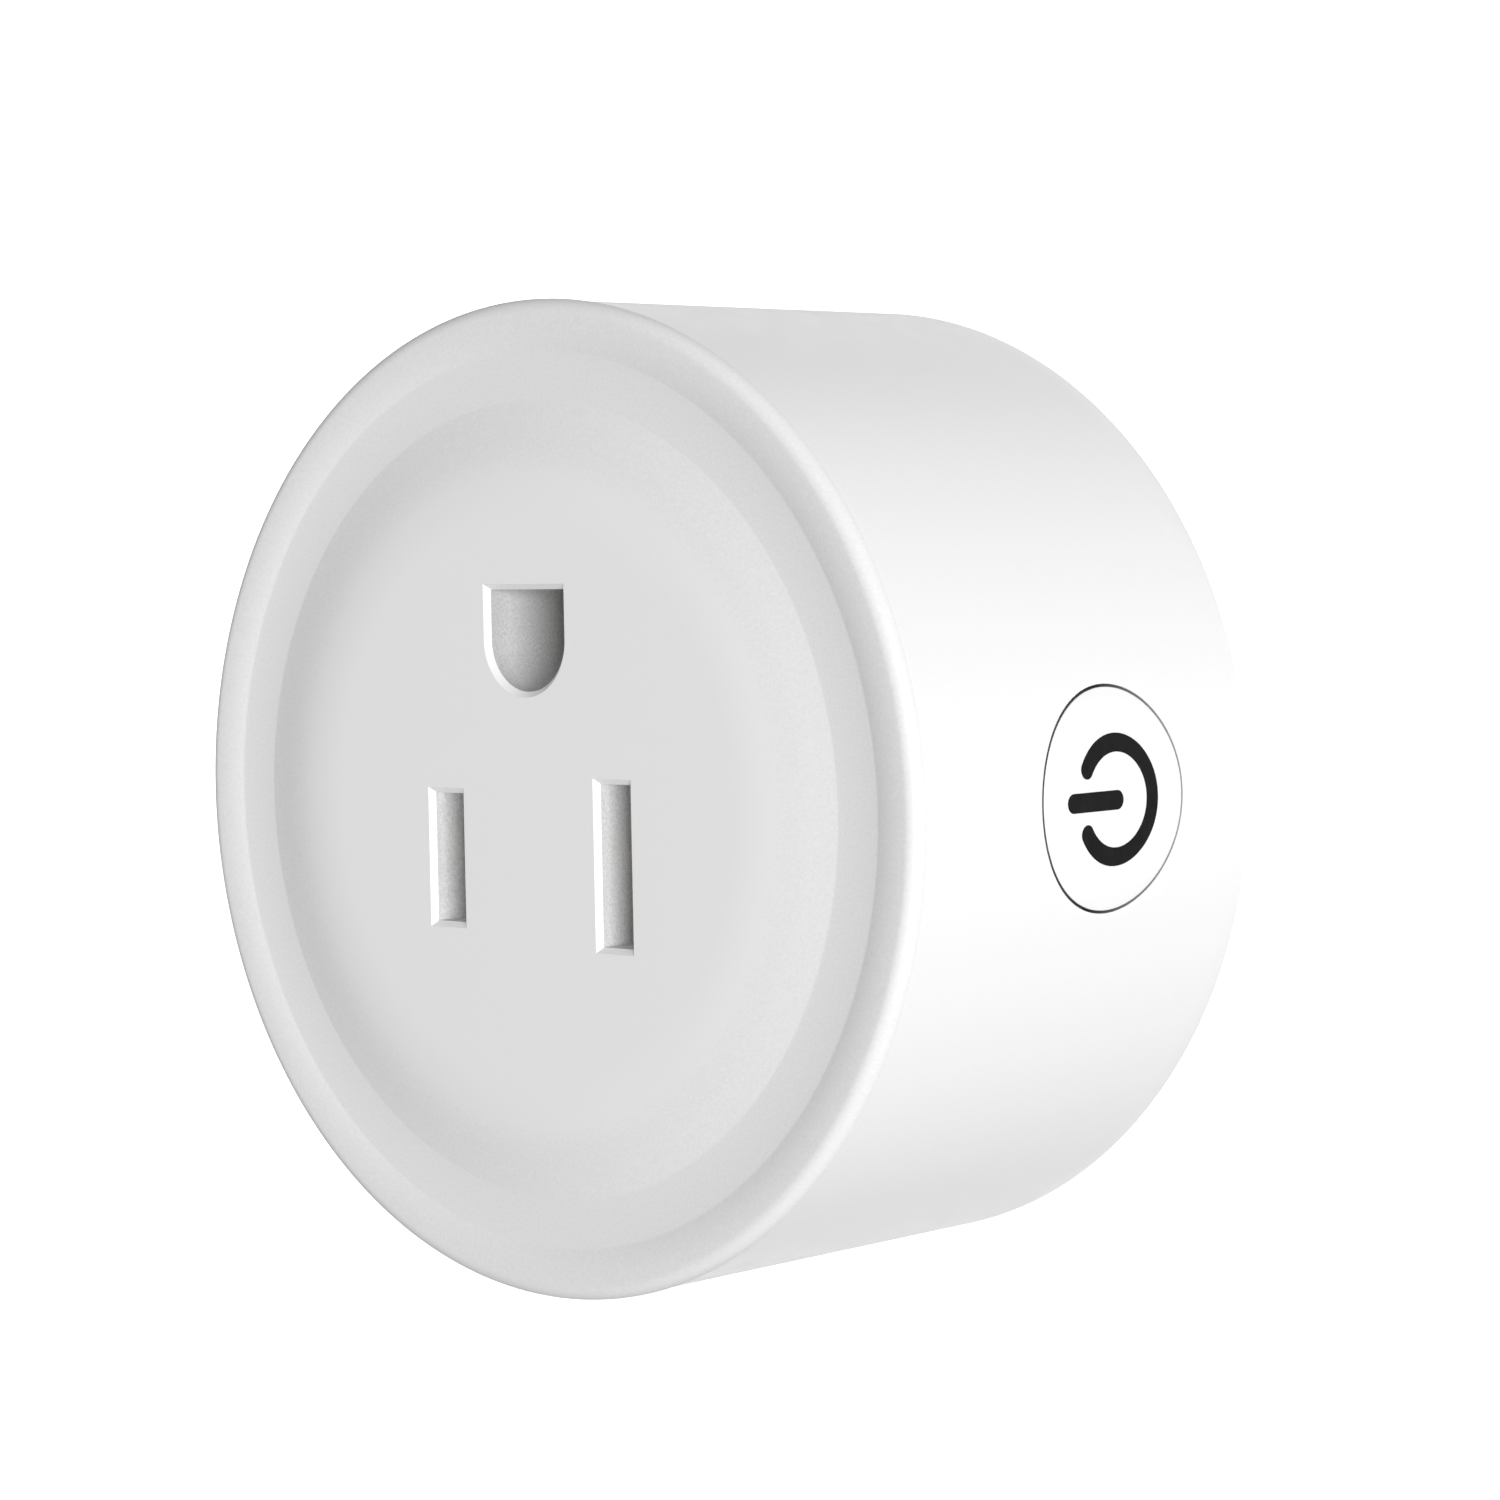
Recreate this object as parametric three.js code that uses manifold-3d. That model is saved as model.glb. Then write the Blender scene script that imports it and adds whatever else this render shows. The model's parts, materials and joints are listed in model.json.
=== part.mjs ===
// A round smart plug: grounded three-pin wall plug at the back, one grounded socket at the front,
// a mains relay and a radio-controlled board between them, and a push button in the side.
//
// Millimetres, +Z up. The body's axis is Y. The origin is the centre of the flat rear face that
// meets the wall plate: the pins point along +Y into the wall, the socket faces -Y into the room,
// and the button is on the +X side.

import * as THREE from "three";
import { mergeVertices } from "three/addons/utils/BufferGeometryUtils.js";
import Module from "manifold-3d";

const wasm = await Module();
wasm.setup();

// ---------------------------------------------------------------- driving dimensions

// Enclosure
const BODY_RADIUS = 26.8;
const BODY_DEPTH = 28.6; // socket face to wall face
const WALL = 1.8;
const RIM_RADIUS = 26.88; // the front cover's rim stands just proud of the housing's side
const RIM_DEPTH = 1.3; // socket face to the joint between the rim and the housing
const LIP_CREST = 26.1; // radius of the crest of the rim's rounded lip
const LIP_RECESS = 0.43; // socket face to that crest
const RING_RECESS = 0.76; // socket face to the flat ring round the raised centre
const RING_OUTER = 24.1;
const DOME_FOOT = 21.5; // radius where the raised centre meets the ring
const DOME_FLAT = 15.0; // radius of its flat top
const PLATE_THICK = 2.04; // front cover at the ring
const COVER_THICK = 2.4;
const FIT_GAP = 0.1; // clearance between parts that slip together

// Standard 15 A grounded plug and socket
const BLADE_PITCH = 12.7;
const GROUND_OFFSET = 11.9; // ground pin above the blades' centre line
const BLADE_ROW_Z = -3.2;
const BLADE_THICK = 1.52;
const BLADE_WIDTH = 6.35;
const BLADE_LENGTH = 17.8;
const BLADE_HOLE_RADIUS = 1.6;
const BLADE_HOLE_Y = 11.9;
const PIN_RADIUS = 2.4;
const PIN_LENGTH = 21.0;
const SLOT_WIDTH = 2.2;
const LINE_SLOT = 7.05;
const NEUTRAL_SLOT = 8.65;
const GROUND_SLOT_RADIUS = 2.78;
const GROUND_SLOT_FLAT = 2.7; // flat top edge above the ground pin's centre
const SLOT_CHAMFER = 0.3;
const GUIDE_WALL = 0.75; // wall of the sleeve that guides the ground pin in
const GUIDE_DEPTH = 6.7; // socket face to its rear end

// Push button
const BUTTON_Y = 16.5 - BODY_DEPTH;
const BUTTON_HOLE = 6.0;
const BUTTON_RADIUS = 5.85;
const BUTTON_FLANGE = 6.9;
const FLANGE_THICK = 0.8;
const BUTTON_SEAT_X = 23.45; // inner face of the guide collar
const PLUNGER_TOP_X = 22.0;

// Boards
const BOARD_THICK = 1.6;
const BOARD_BACK_Y = -4.6;
const BOARD_RADIUS = 24.3;
const CONTROL_X = 16.5; // inner face of the upright control board
const CONTROL_THICK = 1.2;

// Round stretches
const BODY_SEGMENTS = 96;
const PIECE_SEGMENTS = 20;
const SCREW_SEGMENTS = 12;
const LEAD_SEGMENTS = 6;
const CORNER_SEGMENTS = 3; // to each rounded corner of a drawn outline

// ---------------------------------------------------------------- derived places

const FACE_Y = -BODY_DEPTH;
const LIP_Y = FACE_Y + LIP_RECESS;
const RING_Y = FACE_Y + RING_RECESS;
const PLATE_BACK_Y = RING_Y + PLATE_THICK;
const INNER_RADIUS = BODY_RADIUS - WALL;
const BOARD_FRONT_Y = BOARD_BACK_Y - BOARD_THICK;
const CONTROL_OUTER_X = CONTROL_X + CONTROL_THICK;
const BLADE_X = BLADE_PITCH / 2;
const GROUND_Z = BLADE_ROW_Z + GROUND_OFFSET;

const COVER_SCREW_RADIUS = 22.2; // circle that the cover screws stand on
const COVER_SCREW_ANGLES = [90, 210, 330];
const coverScrewPlaces = COVER_SCREW_ANGLES.map((degrees) => {
  const a = THREE.MathUtils.degToRad(degrees);
  return { x: COVER_SCREW_RADIUS * Math.cos(a), z: COVER_SCREW_RADIUS * Math.sin(a) };
});
const carrierScrewPlaces = [-7.6, 7.6].map((x) => ({ x, z: 5.2 }));

// ---------------------------------------------------------------- materials

const finish = (color, roughness, metalness = 0) =>
  new THREE.MeshStandardMaterial({ color, roughness, metalness });
const materials = {
  glossWhite: finish(0xf4f4f3, 0.22),
  mattWhite: finish(0xececea, 0.5),
  coverWhite: finish(0xeeeeec, 0.45),
  brass: finish(0xd9c58a, 0.28, 1),
  nickel: finish(0xc9c8c2, 0.25, 1),
  bronze: finish(0xc98f4e, 0.35, 1),
  steel: finish(0xa9abad, 0.35, 1),
  iron: finish(0x7d7f82, 0.4, 1),
  carrier: finish(0xe4e1d8, 0.55),
  board: finish(0x1f6b3a, 0.5),
  radioBoard: finish(0x16324f, 0.45),
  sleeve: finish(0x1d1f24, 0.4),
  film: finish(0xe3b21c, 0.4),
  varistor: finish(0x2457a6, 0.35),
  fuse: finish(0x5a3a26, 0.5),
  relayCase: finish(0x26282c, 0.4),
  bobbin: finish(0xd8d3c4, 0.5),
  copper: finish(0xb5642c, 0.35, 1),
  ferrite: finish(0x3a3c40, 0.6),
  chip: finish(0x17181a, 0.45),
  led: finish(0xf1efe2, 0.25),
};

// ---------------------------------------------------------------- solids from three.js geometry

// A closed geometry as a solid, with its faces turned outwards.
function solid(geometry) {
  const bare = geometry.clone();
  bare.deleteAttribute("normal");
  bare.deleteAttribute("uv");
  const merged = mergeVertices(bare, 1e-4);
  const kept = [];
  const index = merged.index.array;
  for (let i = 0; i < index.length; i += 3) {
    const [a, b, c] = [index[i], index[i + 1], index[i + 2]];
    if (a !== b && b !== c && c !== a) kept.push(a, b, c);
  }
  const make = (corners) =>
    new wasm.Manifold(
      new wasm.Mesh({
        numProp: 3,
        vertProperties: merged.attributes.position.array,
        triVerts: new Uint32Array(corners),
      }),
    );
  const made = make(kept);
  return made.volume() > 0 ? made : make(kept.reverse());
}

const join = (...parts) => parts.reduce((a, b) => a.add(b));
const cut = (body, ...tools) => tools.reduce((a, b) => a.subtract(b), body);

// A box between two opposite corners.
function block([x0, y0, z0], [x1, y1, z1]) {
  const box = new THREE.BoxGeometry(x1 - x0, y1 - y0, z1 - z0);
  return solid(box.translate((x0 + x1) / 2, (y0 + y1) / 2, (z0 + z1) / 2));
}

// A round bar along Y, centred on (x, z).
function barY(radius, y0, y1, x = 0, z = 0, segments = PIECE_SEGMENTS) {
  const bar = new THREE.CylinderGeometry(radius, radius, y1 - y0, segments);
  return solid(bar.translate(x, (y0 + y1) / 2, z));
}

// A round bar along X, centred on (y, z).
function barX(radius, x0, x1, y, z, segments = PIECE_SEGMENTS) {
  const bar = new THREE.CylinderGeometry(radius, radius, x1 - x0, segments).rotateZ(Math.PI / 2);
  return solid(bar.translate((x0 + x1) / 2, y, z));
}

// A profile of [radius, y] points turned round the Y axis.
function turned(profile, segments = PIECE_SEGMENTS) {
  const points = profile.map(([r, y]) => new THREE.Vector2(r, y));
  return solid(new THREE.LatheGeometry(points, segments));
}

// An outline in (x, z) drawn along Y. A bevel widens the outline between its two ends.
function alongY(outline, y0, y1, bevel = 0) {
  const options = {
    depth: y1 - y0 - 2 * bevel,
    bevelEnabled: bevel > 0,
    bevelThickness: bevel,
    bevelSize: bevel,
    bevelSegments: 1,
    curveSegments: CORNER_SEGMENTS,
  };
  return solid(
    new THREE.ExtrudeGeometry(outline, options).rotateX(Math.PI / 2).translate(0, y1 - bevel, 0),
  );
}

// An outline in (y, z) drawn along X.
function alongX(outline, x0, x1) {
  const drawn = new THREE.ExtrudeGeometry(outline, {
    depth: x1 - x0,
    bevelEnabled: false,
    curveSegments: CORNER_SEGMENTS,
  });
  drawn.applyMatrix4(new THREE.Matrix4().set(0, 0, 1, x0, 1, 0, 0, 0, 0, 1, 0, 0, 0, 0, 0, 1));
  return solid(drawn);
}

// An outline in (x, y) drawn along Z.
function alongZ(outline, z0, z1) {
  const drawn = new THREE.ExtrudeGeometry(outline, {
    depth: z1 - z0,
    bevelEnabled: false,
    curveSegments: CORNER_SEGMENTS,
  });
  return solid(drawn.translate(0, 0, z0));
}

const polygon = (points) => new THREE.Shape(points.map(([u, v]) => new THREE.Vector2(u, v)));

function rectangle(u0, u1, v0, v1) {
  return polygon([
    [u0, v0],
    [u1, v0],
    [u1, v1],
    [u0, v1],
  ]);
}

function roundedRectangle(width, height, radius, u = 0, v = 0) {
  const [right, top] = [width / 2 - radius, height / 2 - radius];
  const outline = new THREE.Shape();
  outline.absarc(u + right, v + top, radius, 0, Math.PI / 2);
  outline.absarc(u - right, v + top, radius, Math.PI / 2, Math.PI);
  outline.absarc(u - right, v - top, radius, Math.PI, 1.5 * Math.PI);
  outline.absarc(u + right, v - top, radius, 1.5 * Math.PI, 2 * Math.PI);
  outline.closePath();
  return outline;
}

// Points round a centre (u, v), from angle a to angle b in degrees.
function arc(u, v, radius, a, b, steps) {
  return Array.from({ length: steps + 1 }, (_, i) => {
    const t = THREE.MathUtils.degToRad(a + ((b - a) * i) / steps);
    return [u + radius * Math.cos(t), v + radius * Math.sin(t)];
  });
}

// A named mesh of a solid.
function piece(name, made, material, place = [0, 0, 0]) {
  const { vertProperties, triVerts, numProp } = made.getMesh();
  const corners = new Float32Array((vertProperties.length / numProp) * 3);
  for (let i = 0; i < corners.length / 3; i++) {
    corners.set(vertProperties.subarray(i * numProp, i * numProp + 3), i * 3);
  }
  const geometry = new THREE.BufferGeometry();
  geometry.setAttribute("position", new THREE.BufferAttribute(corners, 3));
  geometry.setIndex(new THREE.BufferAttribute(triVerts, 1));
  geometry.computeVertexNormals();
  const mesh = new THREE.Mesh(geometry, material);
  mesh.name = name;
  mesh.position.set(...place);
  return mesh;
}

function group(...members) {
  const made = new THREE.Group();
  made.add(...members);
  return made;
}

// ---------------------------------------------------------------- enclosure

// The ground pin's hole: round below, square above.
function groundOutline(margin = 0) {
  const radius = GROUND_SLOT_RADIUS + margin;
  const flat = GROUND_Z + GROUND_SLOT_FLAT + margin;
  return polygon([[radius, flat], [-radius, flat], ...arc(0, GROUND_Z, radius, 180, 360, 16)]);
}

function slotOutline(x, length) {
  return rectangle(
    x - SLOT_WIDTH / 2,
    x + SLOT_WIDTH / 2,
    BLADE_ROW_Z - length / 2,
    BLADE_ROW_Z + length / 2,
  );
}

// One slot's cutter: the straight slot and the chamfer round its mouth.
function slotCutter(outline) {
  const straight = alongY(outline, FACE_Y - 1, FACE_Y + GUIDE_DEPTH + 1);
  const mouth = alongY(outline, FACE_Y - 1, FACE_Y + SLOT_CHAMFER, SLOT_CHAMFER);
  return join(straight, mouth);
}

function housing() {
  const LEDGE_INNER = 22.7; // the front cover rests on this ledge
  const LEDGE_BACK_Y = PLATE_BACK_Y + 1.2;
  const REAR_EDGE = 0.3;
  const FRONT_Y = FACE_Y + RIM_DEPTH + 0.03;
  const profile = [
    [INNER_RADIUS, FRONT_Y],
    [BODY_RADIUS, FRONT_Y],
    [BODY_RADIUS, -REAR_EDGE],
    [BODY_RADIUS - REAR_EDGE, 0],
    [INNER_RADIUS, 0],
    [INNER_RADIUS, LEDGE_BACK_Y + INNER_RADIUS - LEDGE_INNER],
    [LEDGE_INNER, LEDGE_BACK_Y],
    [LEDGE_INNER, PLATE_BACK_Y],
    [INNER_RADIUS, PLATE_BACK_Y],
    [INNER_RADIUS, FRONT_Y],
  ];
  const BOSS_RADIUS = 2.4;
  const BOSS_DEPTH = 8.4;
  const PILOT_RADIUS = 1.15;
  const COLLAR_RADIUS = 7.7;
  const KEY_Z = 1.15; // the button's key slides between two ribs
  const KEY_Y = BUTTON_Y - BUTTON_FLANGE;
  const wall = turned(profile, BODY_SEGMENTS);
  const collar = barX(COLLAR_RADIUS, BUTTON_SEAT_X, INNER_RADIUS + 0.4, BUTTON_Y, 0, 36);
  const ribs = [1, -1].map((side) => {
    const [a, b] = [side * KEY_Z, side * (KEY_Z + 0.8)];
    return block(
      [BUTTON_SEAT_X - 1.6, KEY_Y - 1.3, Math.min(a, b)],
      [INNER_RADIUS + 0.3, KEY_Y - 0.1, Math.max(a, b)],
    );
  });
  const bosses = coverScrewPlaces.flatMap(({ x, z }) => {
    const out = (INNER_RADIUS + 0.5) / COVER_SCREW_RADIUS;
    const webHeight = INNER_RADIUS + 0.5 - COVER_SCREW_RADIUS;
    const web = new THREE.BoxGeometry(BOSS_RADIUS * 1.6, BOSS_DEPTH, webHeight);
    web.rotateY(Math.atan2(x, z));
    const mid = (1 + out) / 2;
    web.translate(x * mid, -COVER_THICK - BOSS_DEPTH / 2, z * mid);
    return [barY(BOSS_RADIUS, -COVER_THICK - BOSS_DEPTH, -COVER_THICK, x, z), solid(web)];
  });
  const pilots = coverScrewPlaces.map(({ x, z }) =>
    barY(PILOT_RADIUS, -COVER_THICK - BOSS_DEPTH + 0.8, 0.5, x, z, 16),
  );
  const buttonHole = barX(BUTTON_HOLE, BUTTON_SEAT_X - 1, BODY_RADIUS + 1, BUTTON_Y, 0, 48);
  return cut(join(wall, collar, ...ribs, ...bosses), buttonHole, ...pilots);
}

// The front cover: raised round centre with the socket openings, flat ring, and rounded rim.
function faceplate() {
  const PLUG_RADIUS = INNER_RADIUS - FIT_GAP; // the part that sits inside the housing
  const SKIRT_OUTER = 22.6;
  const SKIRT_INNER = 21.4;
  const SKIRT_Y = PLATE_BACK_Y + 1.7;
  const SLOPE_START = 20; // the centre's curved shoulder ends here and runs on straight to its foot
  const DOME_STEPS = 5;
  const LIP_STEPS = 4;
  // Shoulder with a slope that grows evenly, then a straight slope, RING_RECESS deep in all.
  const steepest = RING_RECESS / ((SLOPE_START - DOME_FLAT) / 2 + DOME_FOOT - SLOPE_START);
  const dome = Array.from({ length: DOME_STEPS + 1 }, (_, i) => {
    const run = ((SLOPE_START - DOME_FLAT) * i) / DOME_STEPS;
    return [DOME_FLAT + run, FACE_Y + (steepest * run * run) / (2 * (SLOPE_START - DOME_FLAT))];
  });
  // The lip rises from the ring's edge to its crest with a slope that eases off evenly.
  const lip = Array.from({ length: LIP_STEPS }, (_, i) => {
    const t = 1 - i / LIP_STEPS;
    return [LIP_CREST - (LIP_CREST - RING_OUTER) * t, LIP_Y + (RING_Y - LIP_Y) * t * t];
  });
  const fillet = RIM_RADIUS - LIP_CREST;
  const profile = [
    [0, FACE_Y],
    ...dome,
    [DOME_FOOT, RING_Y],
    ...lip,
    ...arc(LIP_CREST, LIP_Y + fillet, fillet, -90, 0, 5),
    [RIM_RADIUS, FACE_Y + RIM_DEPTH],
    [PLUG_RADIUS, FACE_Y + RIM_DEPTH],
    [PLUG_RADIUS, PLATE_BACK_Y],
    [SKIRT_OUTER, PLATE_BACK_Y],
    [SKIRT_OUTER, SKIRT_Y],
    [SKIRT_INNER, SKIRT_Y],
    [SKIRT_INNER, PLATE_BACK_Y],
    [0, PLATE_BACK_Y],
  ];
  const guide = alongY(groundOutline(GUIDE_WALL), PLATE_BACK_Y - 0.5, FACE_Y + GUIDE_DEPTH);
  const POST_RADIUS = 1.9;
  const posts = carrierScrewPlaces.map(({ x, z }) =>
    barY(POST_RADIUS, PLATE_BACK_Y - 0.5, CARRIER_EAR_Y - 0.05, x, z),
  );
  const pilots = carrierScrewPlaces.map(({ x, z }) =>
    barY(1.1, PLATE_BACK_Y + 0.2, CARRIER_EAR_Y + 1, x, z, 16),
  );
  return cut(
    join(turned(profile, BODY_SEGMENTS), guide, ...posts),
    ...pilots,
    slotCutter(slotOutline(-BLADE_X, LINE_SLOT)),
    slotCutter(slotOutline(BLADE_X, NEUTRAL_SLOT)),
    slotCutter(groundOutline()),
  );
}

// Cover screw sizes, shared by the screw and by the cover's seat for it.
const COVER_SCREW = { headRadius: 2.1, headHeight: 1.2, radius: 1.05, length: 7.6 };
const COVER_SEAT_Y = -1.7;
const CARRIER_SCREW = { headRadius: 1.75, headHeight: 1.1, radius: 1.0, length: 4.8 };

function rearCover() {
  const EDGE = 0.4;
  const outer = INNER_RADIUS - FIT_GAP;
  const plate = turned(
    [
      [0, -COVER_THICK],
      [outer, -COVER_THICK],
      [outer, -EDGE],
      [outer - EDGE, 0],
      [0, 0],
    ],
    BODY_SEGMENTS,
  );
  // Posts that the main board rests on.
  const POST_RADIUS = 1.4;
  const posts = [
    [17.5, 6],
    [-21, 4.4],
    [11, -15],
    [-9.8, -19],
  ].map(([x, z]) => barY(POST_RADIUS, BOARD_BACK_Y + 0.05, -COVER_THICK + 0.3, x, z, 16));
  const bladeSlots = [-BLADE_X, BLADE_X].map((x) =>
    block(
      [x - BLADE_THICK / 2 - 0.05, -COVER_THICK - 1, BLADE_ROW_Z - BLADE_WIDTH / 2 - 0.05],
      [x + BLADE_THICK / 2 + 0.05, 1, BLADE_ROW_Z + BLADE_WIDTH / 2 + 0.05],
    ),
  );
  const pinHole = barY(PIN_RADIUS + 0.06, -COVER_THICK - 1, 1, 0, GROUND_Z, 24);
  const screwHoles = coverScrewPlaces.flatMap(({ x, z }) => [
    barY(COVER_SCREW.radius + 0.25, -COVER_THICK - 1, 1, x, z),
    barY(COVER_SCREW.headRadius + 0.2, COVER_SEAT_Y, 1, x, z),
  ]);
  return cut(join(plate, ...posts), ...bladeSlots, pinHole, ...screwHoles);
}

// A pan-head screw with a cross recess. Its seat is y = 0, the head is on the +Y side.
function screw({ headRadius, headHeight, radius, length }) {
  const body = turned([
    [0, -length],
    [radius * 0.35, -length],
    [radius, -length + radius * 1.4],
    [radius, 0],
    [headRadius, 0],
    [headRadius, headHeight * 0.45],
    [headRadius * 0.7, headHeight],
    [0, headHeight],
  ], SCREW_SEGMENTS);
  const arm = headRadius * 0.58;
  const half = headRadius * 0.13;
  const floor = headHeight * 0.35;
  return cut(
    body,
    block([-arm, floor, -half], [arm, headHeight + 1, half]),
    block([-half, floor, -arm], [half, headHeight + 1, arm]),
  );
}

// ---------------------------------------------------------------- push button

// The cap's outer end follows the housing's round side, so that the two are flush.
function powerButton() {
  const SKIRT_INNER = 4.7;
  const SHELL_X = 25.3; // inside of the cap's end wall
  const flangeTop = BUTTON_SEAT_X - 0.05;
  const flangeBottom = flangeTop - FLANGE_THICK;
  const stem = barX(BUTTON_RADIUS, flangeBottom, BODY_RADIUS + 1, BUTTON_Y, 0, 48);
  const side = barY(BODY_RADIUS, BUTTON_Y - 8, BUTTON_Y + 8, 0, 0, BODY_SEGMENTS * 2);
  const flange = barX(BUTTON_FLANGE, flangeBottom, flangeTop, BUTTON_Y, 0, 48);
  const key = block(
    [flangeBottom, BUTTON_Y - BUTTON_FLANGE - 1.1, -1.0],
    [flangeTop, BUTTON_Y - BUTTON_FLANGE + 1, 1.0],
  );
  const hollow = barX(SKIRT_INNER, flangeBottom - 1, SHELL_X, BUTTON_Y, 0, 36);
  const post = barX(1.6, PLUNGER_TOP_X + 0.05, SHELL_X + 0.3, BUTTON_Y, 0);
  return join(cut(join(stem.intersect(side), flange, key), hollow), post);
}

// ---------------------------------------------------------------- wall pins

const SHOULDER_Y = -COVER_THICK - 0.05; // the pins' shoulders bear on the cover's inside here
const SHOULDER_BACK_Y = -3.9;
const TAIL_END_Y = BOARD_FRONT_Y - 0.6;

// A flat blade, centred on x = 0 and z = 0: board tail, shoulder, blade with a hole and a tapered end.
function blade() {
  const TAIL = 1.5;
  const SHOULDER = 4.1;
  const TIP_CHAMFER = 1.2;
  const TIP_TAPER = 1.6;
  const w = BLADE_WIDTH / 2;
  const outline = polygon([
    [TAIL_END_Y, -TAIL],
    [SHOULDER_BACK_Y, -TAIL],
    [SHOULDER_BACK_Y, -SHOULDER],
    [SHOULDER_Y, -SHOULDER],
    [SHOULDER_Y, -w],
    [BLADE_LENGTH - TIP_CHAMFER, -w],
    [BLADE_LENGTH, -w + TIP_CHAMFER],
    [BLADE_LENGTH, w - TIP_CHAMFER],
    [BLADE_LENGTH - TIP_CHAMFER, w],
    [SHOULDER_Y, w],
    [SHOULDER_Y, SHOULDER],
    [SHOULDER_BACK_Y, SHOULDER],
    [SHOULDER_BACK_Y, TAIL],
    [TAIL_END_Y, TAIL],
  ]);
  const half = BLADE_THICK / 2;
  const edge = polygon([
    [-half, TAIL_END_Y - 1],
    [half, TAIL_END_Y - 1],
    [half, BLADE_LENGTH - TIP_TAPER],
    [half * 0.45, BLADE_LENGTH],
    [-half * 0.45, BLADE_LENGTH],
    [-half, BLADE_LENGTH - TIP_TAPER],
  ]);
  const hole = barX(BLADE_HOLE_RADIUS, -2, 2, BLADE_HOLE_Y, 0);
  return cut(alongX(outline, -half, half).intersect(alongZ(edge, -5, 5)), hole);
}

function groundPin() {
  const NOSE = 3.6;
  const nose = Array.from({ length: 6 }, (_, i) => {
    const t = (i / 5) * (Math.PI / 2);
    return [PIN_RADIUS * Math.cos(t), PIN_LENGTH - NOSE + NOSE * Math.sin(t)];
  });
  nose[nose.length - 1][0] = 0;
  return turned(
    [
      [0, TAIL_END_Y],
      [1.4, TAIL_END_Y],
      [1.4, SHOULDER_BACK_Y],
      [3.4, SHOULDER_BACK_Y],
      [3.4, SHOULDER_Y],
      [PIN_RADIUS, SHOULDER_Y],
      ...nose,
    ],
    24,
  );
}

// ---------------------------------------------------------------- socket contacts

const BLADE_CONTACT_Y = PLATE_BACK_Y + 0.6; // front ends of the contacts
const GROUND_CONTACT_Y = FACE_Y + GUIDE_DEPTH + 0.2;
const CONTACT_REAR_Y = -12.6;
const STRIP = 0.45; // thickness of the contact strip
const CARRIER_FRONT_Y = PLATE_BACK_Y + 0.05;
const CARRIER_REAR_Y = -12.0;
const CARRIER_EAR_Y = -21.5;

// A U-shaped spring contact, open to the front and the back, centred on x = 0 and z = 0. Its two
// leaves grip what goes in between them, gap apart at the pinch. webSide is the side, up or down,
// that its web and board tail are on, and frontY is its front end.
function contact(gap, leafHeight, webSide, frontY) {
  const pinch = gap / 2;
  const relief = pinch + 0.4;
  const leaf = (side) =>
    polygon(
      [
        [pinch + 0.7, frontY],
        [pinch + 0.7 + STRIP, frontY],
        [pinch + STRIP, frontY + 2.4],
        [pinch + STRIP, frontY + 3.6],
        [relief + STRIP, frontY + 6.4],
        [relief + STRIP, CONTACT_REAR_Y],
        [relief, CONTACT_REAR_Y],
        [relief, frontY + 6.4],
        [pinch, frontY + 3.6],
        [pinch, frontY + 2.4],
      ].map(([x, y]) => [side * x, y]),
    );
  const z = (from, to) => [Math.min(webSide * from, webSide * to), Math.max(webSide * from, webSide * to)];
  const leaves = [1, -1].map((side) => alongZ(leaf(side), -leafHeight / 2, leafHeight / 2));
  const [near, far] = z(leafHeight / 2 - 0.2, leafHeight / 2 + 0.9);
  const [webLow, webHigh] = z(leafHeight / 2 + 0.9 - STRIP, leafHeight / 2 + 0.9);
  const webFront = frontY + 7.4;
  const risers = [1, -1].map((side) => {
    const [a, b] = [side * relief, side * (relief + STRIP)];
    return block([Math.min(a, b), webFront, near], [Math.max(a, b), CONTACT_REAR_Y, far]);
  });
  const web = block([-relief - STRIP, webFront, webLow], [relief + STRIP, CONTACT_REAR_Y, webHigh]);
  const tail = block([-1.5, CONTACT_REAR_Y - 0.5, webLow], [1.5, BOARD_BACK_Y + 0.5, webHigh]);
  return join(...leaves, ...risers, web, tail);
}

const BLADE_LEAF = 6.2;
const GROUND_LEAF = 5.0;
const bladeTailZ = BLADE_ROW_Z - BLADE_LEAF / 2 - 0.9 + STRIP / 2;
const groundTailZ = GROUND_Z + GROUND_LEAF / 2 + 0.9 - STRIP / 2;

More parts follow.
